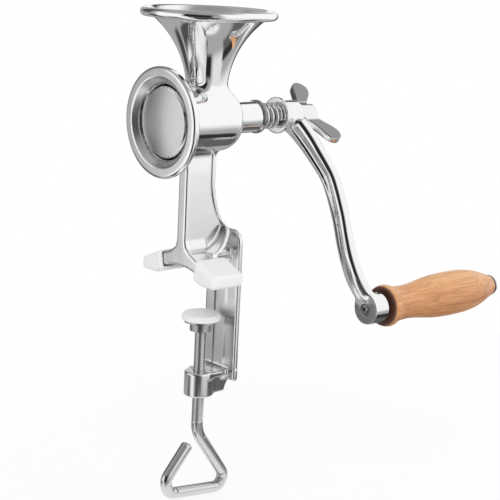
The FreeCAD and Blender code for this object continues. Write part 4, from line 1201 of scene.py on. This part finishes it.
def satin(material, first, second, roughness, colour=None):
    """Gives a polished metal a satin finish where two masks meet, and a darker colour there when
    one is given, which is painted shade on the crank's boss and the nut's wings and leaves the
    burr's rim as a painted highlight.
    """
    tree = material.node_tree
    surface = tree.nodes["Principled BSDF"].inputs
    mask = math_node(tree, "MULTIPLY", first, second)
    gloss = surface["Roughness"].links[0].from_socket
    put(tree, surface["Roughness"], mixed(tree, mask, gloss, roughness, data_type="FLOAT"))
    if colour:
        plain = tuple(surface["Base Color"].default_value)
        tint = mixed(tree, mask, plain, (*colour, 1.0), data_type="RGBA")
        put(tree, surface["Base Color"], tint)


def satin_casting(material):
    """A mouth, inside the flange's face, and a leg that are only ground smooth."""
    tree = material.node_tree
    depth = along_way(tree, part_point(0, 0, 0), (1, 0, 0))
    inside = axis_distance(tree, part_point(0, 0, 0))
    inside = within(tree, inside, FACE_RING_RADIUS - 0.5, FACE_RING_RADIUS + 0.3)
    satin(material, inside, within(tree, depth, RING_BACK, RING_BACK + 1), 0.34)
    behind = beyond(tree, depth, LEG_FRONT + 2.2, LEG_FRONT + 3.2)
    below = along_way(tree, part_point(0, 0, LEG_SATIN_TOP), (0, 0, -1))
    satin(material, behind, beyond(tree, below, 0, 10), 0.2, (0.9, 0.902, 0.905))


def satin_boss_painted_shade(material):
    """A satin end face on the crank's boss, darkened as painted shade."""
    tree = material.node_tree
    centre = to_part(turned([(EYE_FRONT, *EYE_CENTRE)], CRANK_TURN))[0]
    depth = math_node(tree, "ABSOLUTE", along_way(tree, centre, (1, 0, 0)))
    near = within(tree, axis_distance(tree, centre), EYE_RIM + 0.2, EYE_RIM + 1)
    # Painted shade: the boss's end face takes a dark grey far below the crank's chrome
    satin(material, within(tree, depth, 0.2, 0.6), near, 0.32, (0.42, 0.42, 0.43))


def satin_burr_painted_rim(material):
    """A domed front, turned smooth and darker, inside a rim kept bright and glossy as a painted
    highlight of its bevel.
    """
    inside = axis_distance(material.node_tree, part_point(0, 0, 0))
    inside = within(material.node_tree, inside, BURR_FACE_RADIUS - 0.3, BURR_FACE_RADIUS)
    # Painted highlight: the rim keeps the bright, glossy chrome while the face inside it is made
    # darker and rougher
    satin(material, inside, 1.0, 0.27, (0.66, 0.66, 0.67))


def satin_wings_painted_shade(material):
    """Satin faces on the wings, darkened as painted shade between their bright edges."""
    tree = material.node_tree
    flat = (0, -math.sin(WING_TURN), math.cos(WING_TURN))
    height = math_node(tree, "ABSOLUTE", along_way(tree, part_point(0, 0, 0), flat))
    face = beyond(tree, height, WING_THICKNESS / 2 - 1.0, WING_THICKNESS / 2 - 0.6)
    outer = beyond(tree, axis_distance(tree, part_point(0, 0, 0)), NUT_RADIUS + 1, NUT_RADIUS + 3)
    # Painted shade: the wings' broad faces take a dark grey far below the nut's chrome
    satin(material, face, outer, 0.3, (0.3, 0.3, 0.31))


def wood():
    """Oiled hardwood: long grain along the grip, fine pores, painted shade on the collar's end
    face beside the crank's boss, and a soft shine.
    """
    material, tree, surface = shader(
        "oiled_wood", (0.5, 0.2, 0.07), Coat_Weight=0.25, Coat_Roughness=0.25)
    grain = noise(tree, 60.0, 6.0, (0.09, 1.0, 1.0), 0.6)
    fine = noise(tree, 900.0, 3.0, (0.035, 1.0, 1.0))
    pores = ramp(tree, fine, [(0.38, 0.62), (0.52, 1.0)])
    tone = mixed(tree, 0.6, ramp(tree, grain, WOOD_TONES), pores,
                 data_type="RGBA", blend_type="MULTIPLY")
    # Painted shade: the collar's end, up to a few millimetres from the grip's start, fades to near
    # black
    end = within(tree, along_way(tree, part_point(GRIP_START, 0, 0), (1, 0, 0)), 0.4, 2.6)
    tone = mixed(tree, end, tone, COLLAR_SHADE, data_type="RGBA")
    put(tree, surface.inputs["Base Color"], tone)
    put(tree, surface.inputs["Roughness"], ramp(tree, fine, [(0.35, 0.5), (0.6, 0.36)]))
    bump(tree, surface, fine, 0.00012, 0.5)
    return material


def soft_plastic():
    """White soft plastic with a fine matt skin."""
    material, tree, surface = shader(
        "soft_white", (0.87, 0.865, 0.85), Subsurface_Weight=0.12,
        Subsurface_Radius=(1.0, 0.9, 0.8), Subsurface_Scale=0.002)
    grain = noise(tree, 1400.0, 2.0)
    put(tree, surface.inputs["Roughness"], ramp(tree, grain, [(0.3, 0.42), (0.7, 0.55)]))
    bump(tree, surface, grain, 0.00003, 0.6)
    return material


def casting():
    """Hopper, barrel, leg and clamp frame in one piece."""
    side = HOPPER_RADIUS + 3
    low = (HOPPER_REACH - side, -side, JAW_BOTTOM - 3)
    high = (NECK_END + 4, side, HOPPER_TOP + 3)
    item = cast_piece("casting", casting_field(), low, high, 1.0)
    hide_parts("body_casting")
    dress(item, "polished_casting", "stand")


def crank():
    """Crank with its hub and boss."""
    low = (HUB_START - 2, -22.0, -CRANK_RADIUS - EYE_RIM - 2)
    high = (EYE_FRONT + EYE_LENGTH + 2, 15.0, HUB_DISC_RADIUS + 2)
    item = cast_piece("crank", crank_field(), low, high, 0.8, CRANK_TURN)
    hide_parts("crank_arm")
    dress(item, "polished_crank", "crank")


def nut():
    """Wing nut."""
    low = (HUB_END - 1, -32.0, -10.0)
    high = (WING_RISE + 8, 32.0, 10.0)
    item = cast_piece("nut", nut_field(), low, high, 0.6, WING_TURN)
    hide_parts("wing_nut")
    dress(item, "polished_nut", "nut")


def feet():
    """Soft caps on both feet."""
    for label, side in (("left_foot_cap", 1), ("right_foot_cap", -1)):
        near, far = sorted((side * 13, side * 38))
        low = (CAP_FRONT - 1, near, -SHAFT_HEIGHT - 1)
        high = (CAP_BACK + 1, far, CAP_TOP + 2)
        item = cast_piece(f"{label}_soft", foot_field(side), low, high, 0.7)
        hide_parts(label)
        dress(item, "soft_white", "stand")


def spring():
    """Spring from the washer on the neck to the crank's hub, moving with the crank and with a mesh
    of its own.
    """
    item = tube_object("spring", sweep(spring_line(300), SPRING_WIRE, 20), CRANK_TURN)
    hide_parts("pressure_spring")
    dress(item, "spring_steel", "crank")
    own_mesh(item)


def camera():
    """The photograph's viewpoint."""
    data = bpy.data.cameras.new("camera")
    data.sensor_width = CAMERA_SENSOR
    data.lens = CAMERA_LENS
    data.clip_start, data.clip_end = 0.05, 50.0
    item = add_object("camera", data)
    right, up = Vector(CAMERA_RIGHT), Vector(CAMERA_UP)
    turn = Matrix((right, up, right.cross(up))).transposed().to_4x4()
    item.matrix_world = Matrix.Translation(part_point(*CAMERA_PLACE)) @ turn
    bpy.context.scene.camera = item


def lamp(name, place, aim, size, power):
    """A square soft lamp that looks at a point; metal shows the world's cards, not the lamp."""
    data = bpy.data.lights.new(name, "AREA")
    data.shape = "SQUARE"
    data.size = size
    data.energy = power
    item = add_object(name, data)
    item.location = place
    item.rotation_euler = (Vector(aim) - Vector(place)).to_track_quat("-Z", "Y").to_euler()
    item.visible_glossy = False


def card_light(tree, way):
    """The studio's light from a direction, as an emission."""
    axes = add_node(tree, "SeparateXYZ", {0: way}).outputs
    azimuth = math_node(tree, "ARCTAN2", axes["Y"], axes["X"])
    height = math_node(tree, "ARCSINE", axes["Z"])
    level = ROOM
    for grey, *spread in CARDS:
        middle, half, rise, tall, soft = (math.radians(angle) for angle in spread)
        aside = math_node(tree, "SUBTRACT", azimuth, middle)
        aside = math_node(tree, "WRAP", aside, math.pi, -math.pi)
        beside = fade(tree, math_node(tree, "ABSOLUTE", aside), half - soft, half + soft)
        above = math_node(tree, "ABSOLUTE", math_node(tree, "SUBTRACT", height, rise))
        above = fade(tree, above, tall - soft, tall + soft)
        level = mixed(tree, math_node(tree, "MULTIPLY", beside, above), level, grey)
    return level


def mix_shaders(tree, share, first, second):
    """One shader fading into another."""
    sockets = enumerate((share, first.outputs[0], second.outputs[0]))
    return add_node(tree, "MixShader", sockets)


def ray_kinds(tree):
    """Whether a ray comes from the camera, also through glass, and whether it is a reflection."""
    kinds = add_node(tree, "LightPath").outputs
    seen = math_node(tree, "MAXIMUM", kinds["Is Camera Ray"], kinds["Is Transmission Ray"])
    return seen, kinds["Is Glossy Ray"]


def world():
    """White to the camera, a room of cards to polished metal and a plain sky to the rest."""
    studio = bpy.data.worlds.new("studio")
    bpy.context.scene.world = studio
    studio.use_nodes = True
    tree = studio.node_tree
    tree.nodes.clear()
    level = card_light(tree, add_node(tree, "TexCoord").outputs["Generated"])
    cards = add_node(tree, "Background", {"Color": WHITE, "Strength": level})
    sky = add_node(tree, "Background", {"Color": SKY_COLOUR, "Strength": SKY})
    white = add_node(tree, "Background", {"Color": WHITE})
    seen, glossy = ray_kinds(tree)
    light = mix_shaders(tree, seen, mix_shaders(tree, glossy, sky, cards), white)
    add_node(tree, "OutputWorld", {0: light.outputs[0]})


def floor():
    """A plain white floor just under the lowest point; metal sees the studio's cards in it."""
    mesh = bpy.data.meshes.new("floor")
    level = CAD_LOW[2] - FLOOR_DROP
    corners = [(-1, -1), (1, -1), (1, 1), (-1, 1)]
    mesh.from_pydata([(x * FLOOR_HALF, y * FLOOR_HALF, level) for x, y in corners], [],
                     [(0, 1, 2, 3)])
    item = add_object("floor", mesh)
    material, tree, surface = shader("floor_white", [FLOOR_GREY] * 3, Roughness=0.9)
    offset = vector_node(tree, "SUBTRACT", own_place(tree), CARD_MIDDLE)["Vector"]
    way = vector_node(tree, "NORMALIZE", offset)["Vector"]
    far = vector_node(tree, "LENGTH", offset)["Value"]
    white = add_node(tree, "Emission")
    cards = add_node(tree, "Emission", {"Strength": card_light(tree, way)})
    seen, glossy = ray_kinds(tree)
    glow = math_node(tree, "MULTIPLY", seen, fade(tree, far, *FLOOR_FADE, FLOOR_GREY, 1.0))
    both = mix_shaders(tree, glossy, mix_shaders(tree, glow, surface, white), cards)
    put(tree, tree.nodes["Material Output"].inputs["Surface"], both.outputs[0])
    mesh.materials.append(material)


MATERIALS = {name: polished(name) for name in METALS}
MATERIALS["oiled_wood"] = wood()
MATERIALS["soft_white"] = soft_plastic()
satin_casting(MATERIALS["polished_casting"])
satin_boss_painted_shade(MATERIALS["polished_crank"])
satin_burr_painted_rim(MATERIALS["polished_burr"])
satin_wings_painted_shade(MATERIALS["polished_nut"])
for node, look in NODE_LOOKS.items():
    materials = frame["nodes"][node].data.materials
    materials.clear()
    materials.append(MATERIALS[look])
casting()
crank()
nut()
feet()
spring()
spring_seat()
grip()
pin()
end_cap()
clamp_screw()
camera()
world()
floor()
for settings in LAMPS:
    lamp(*settings)
bpy.context.scene.view_settings.view_transform = "Standard"
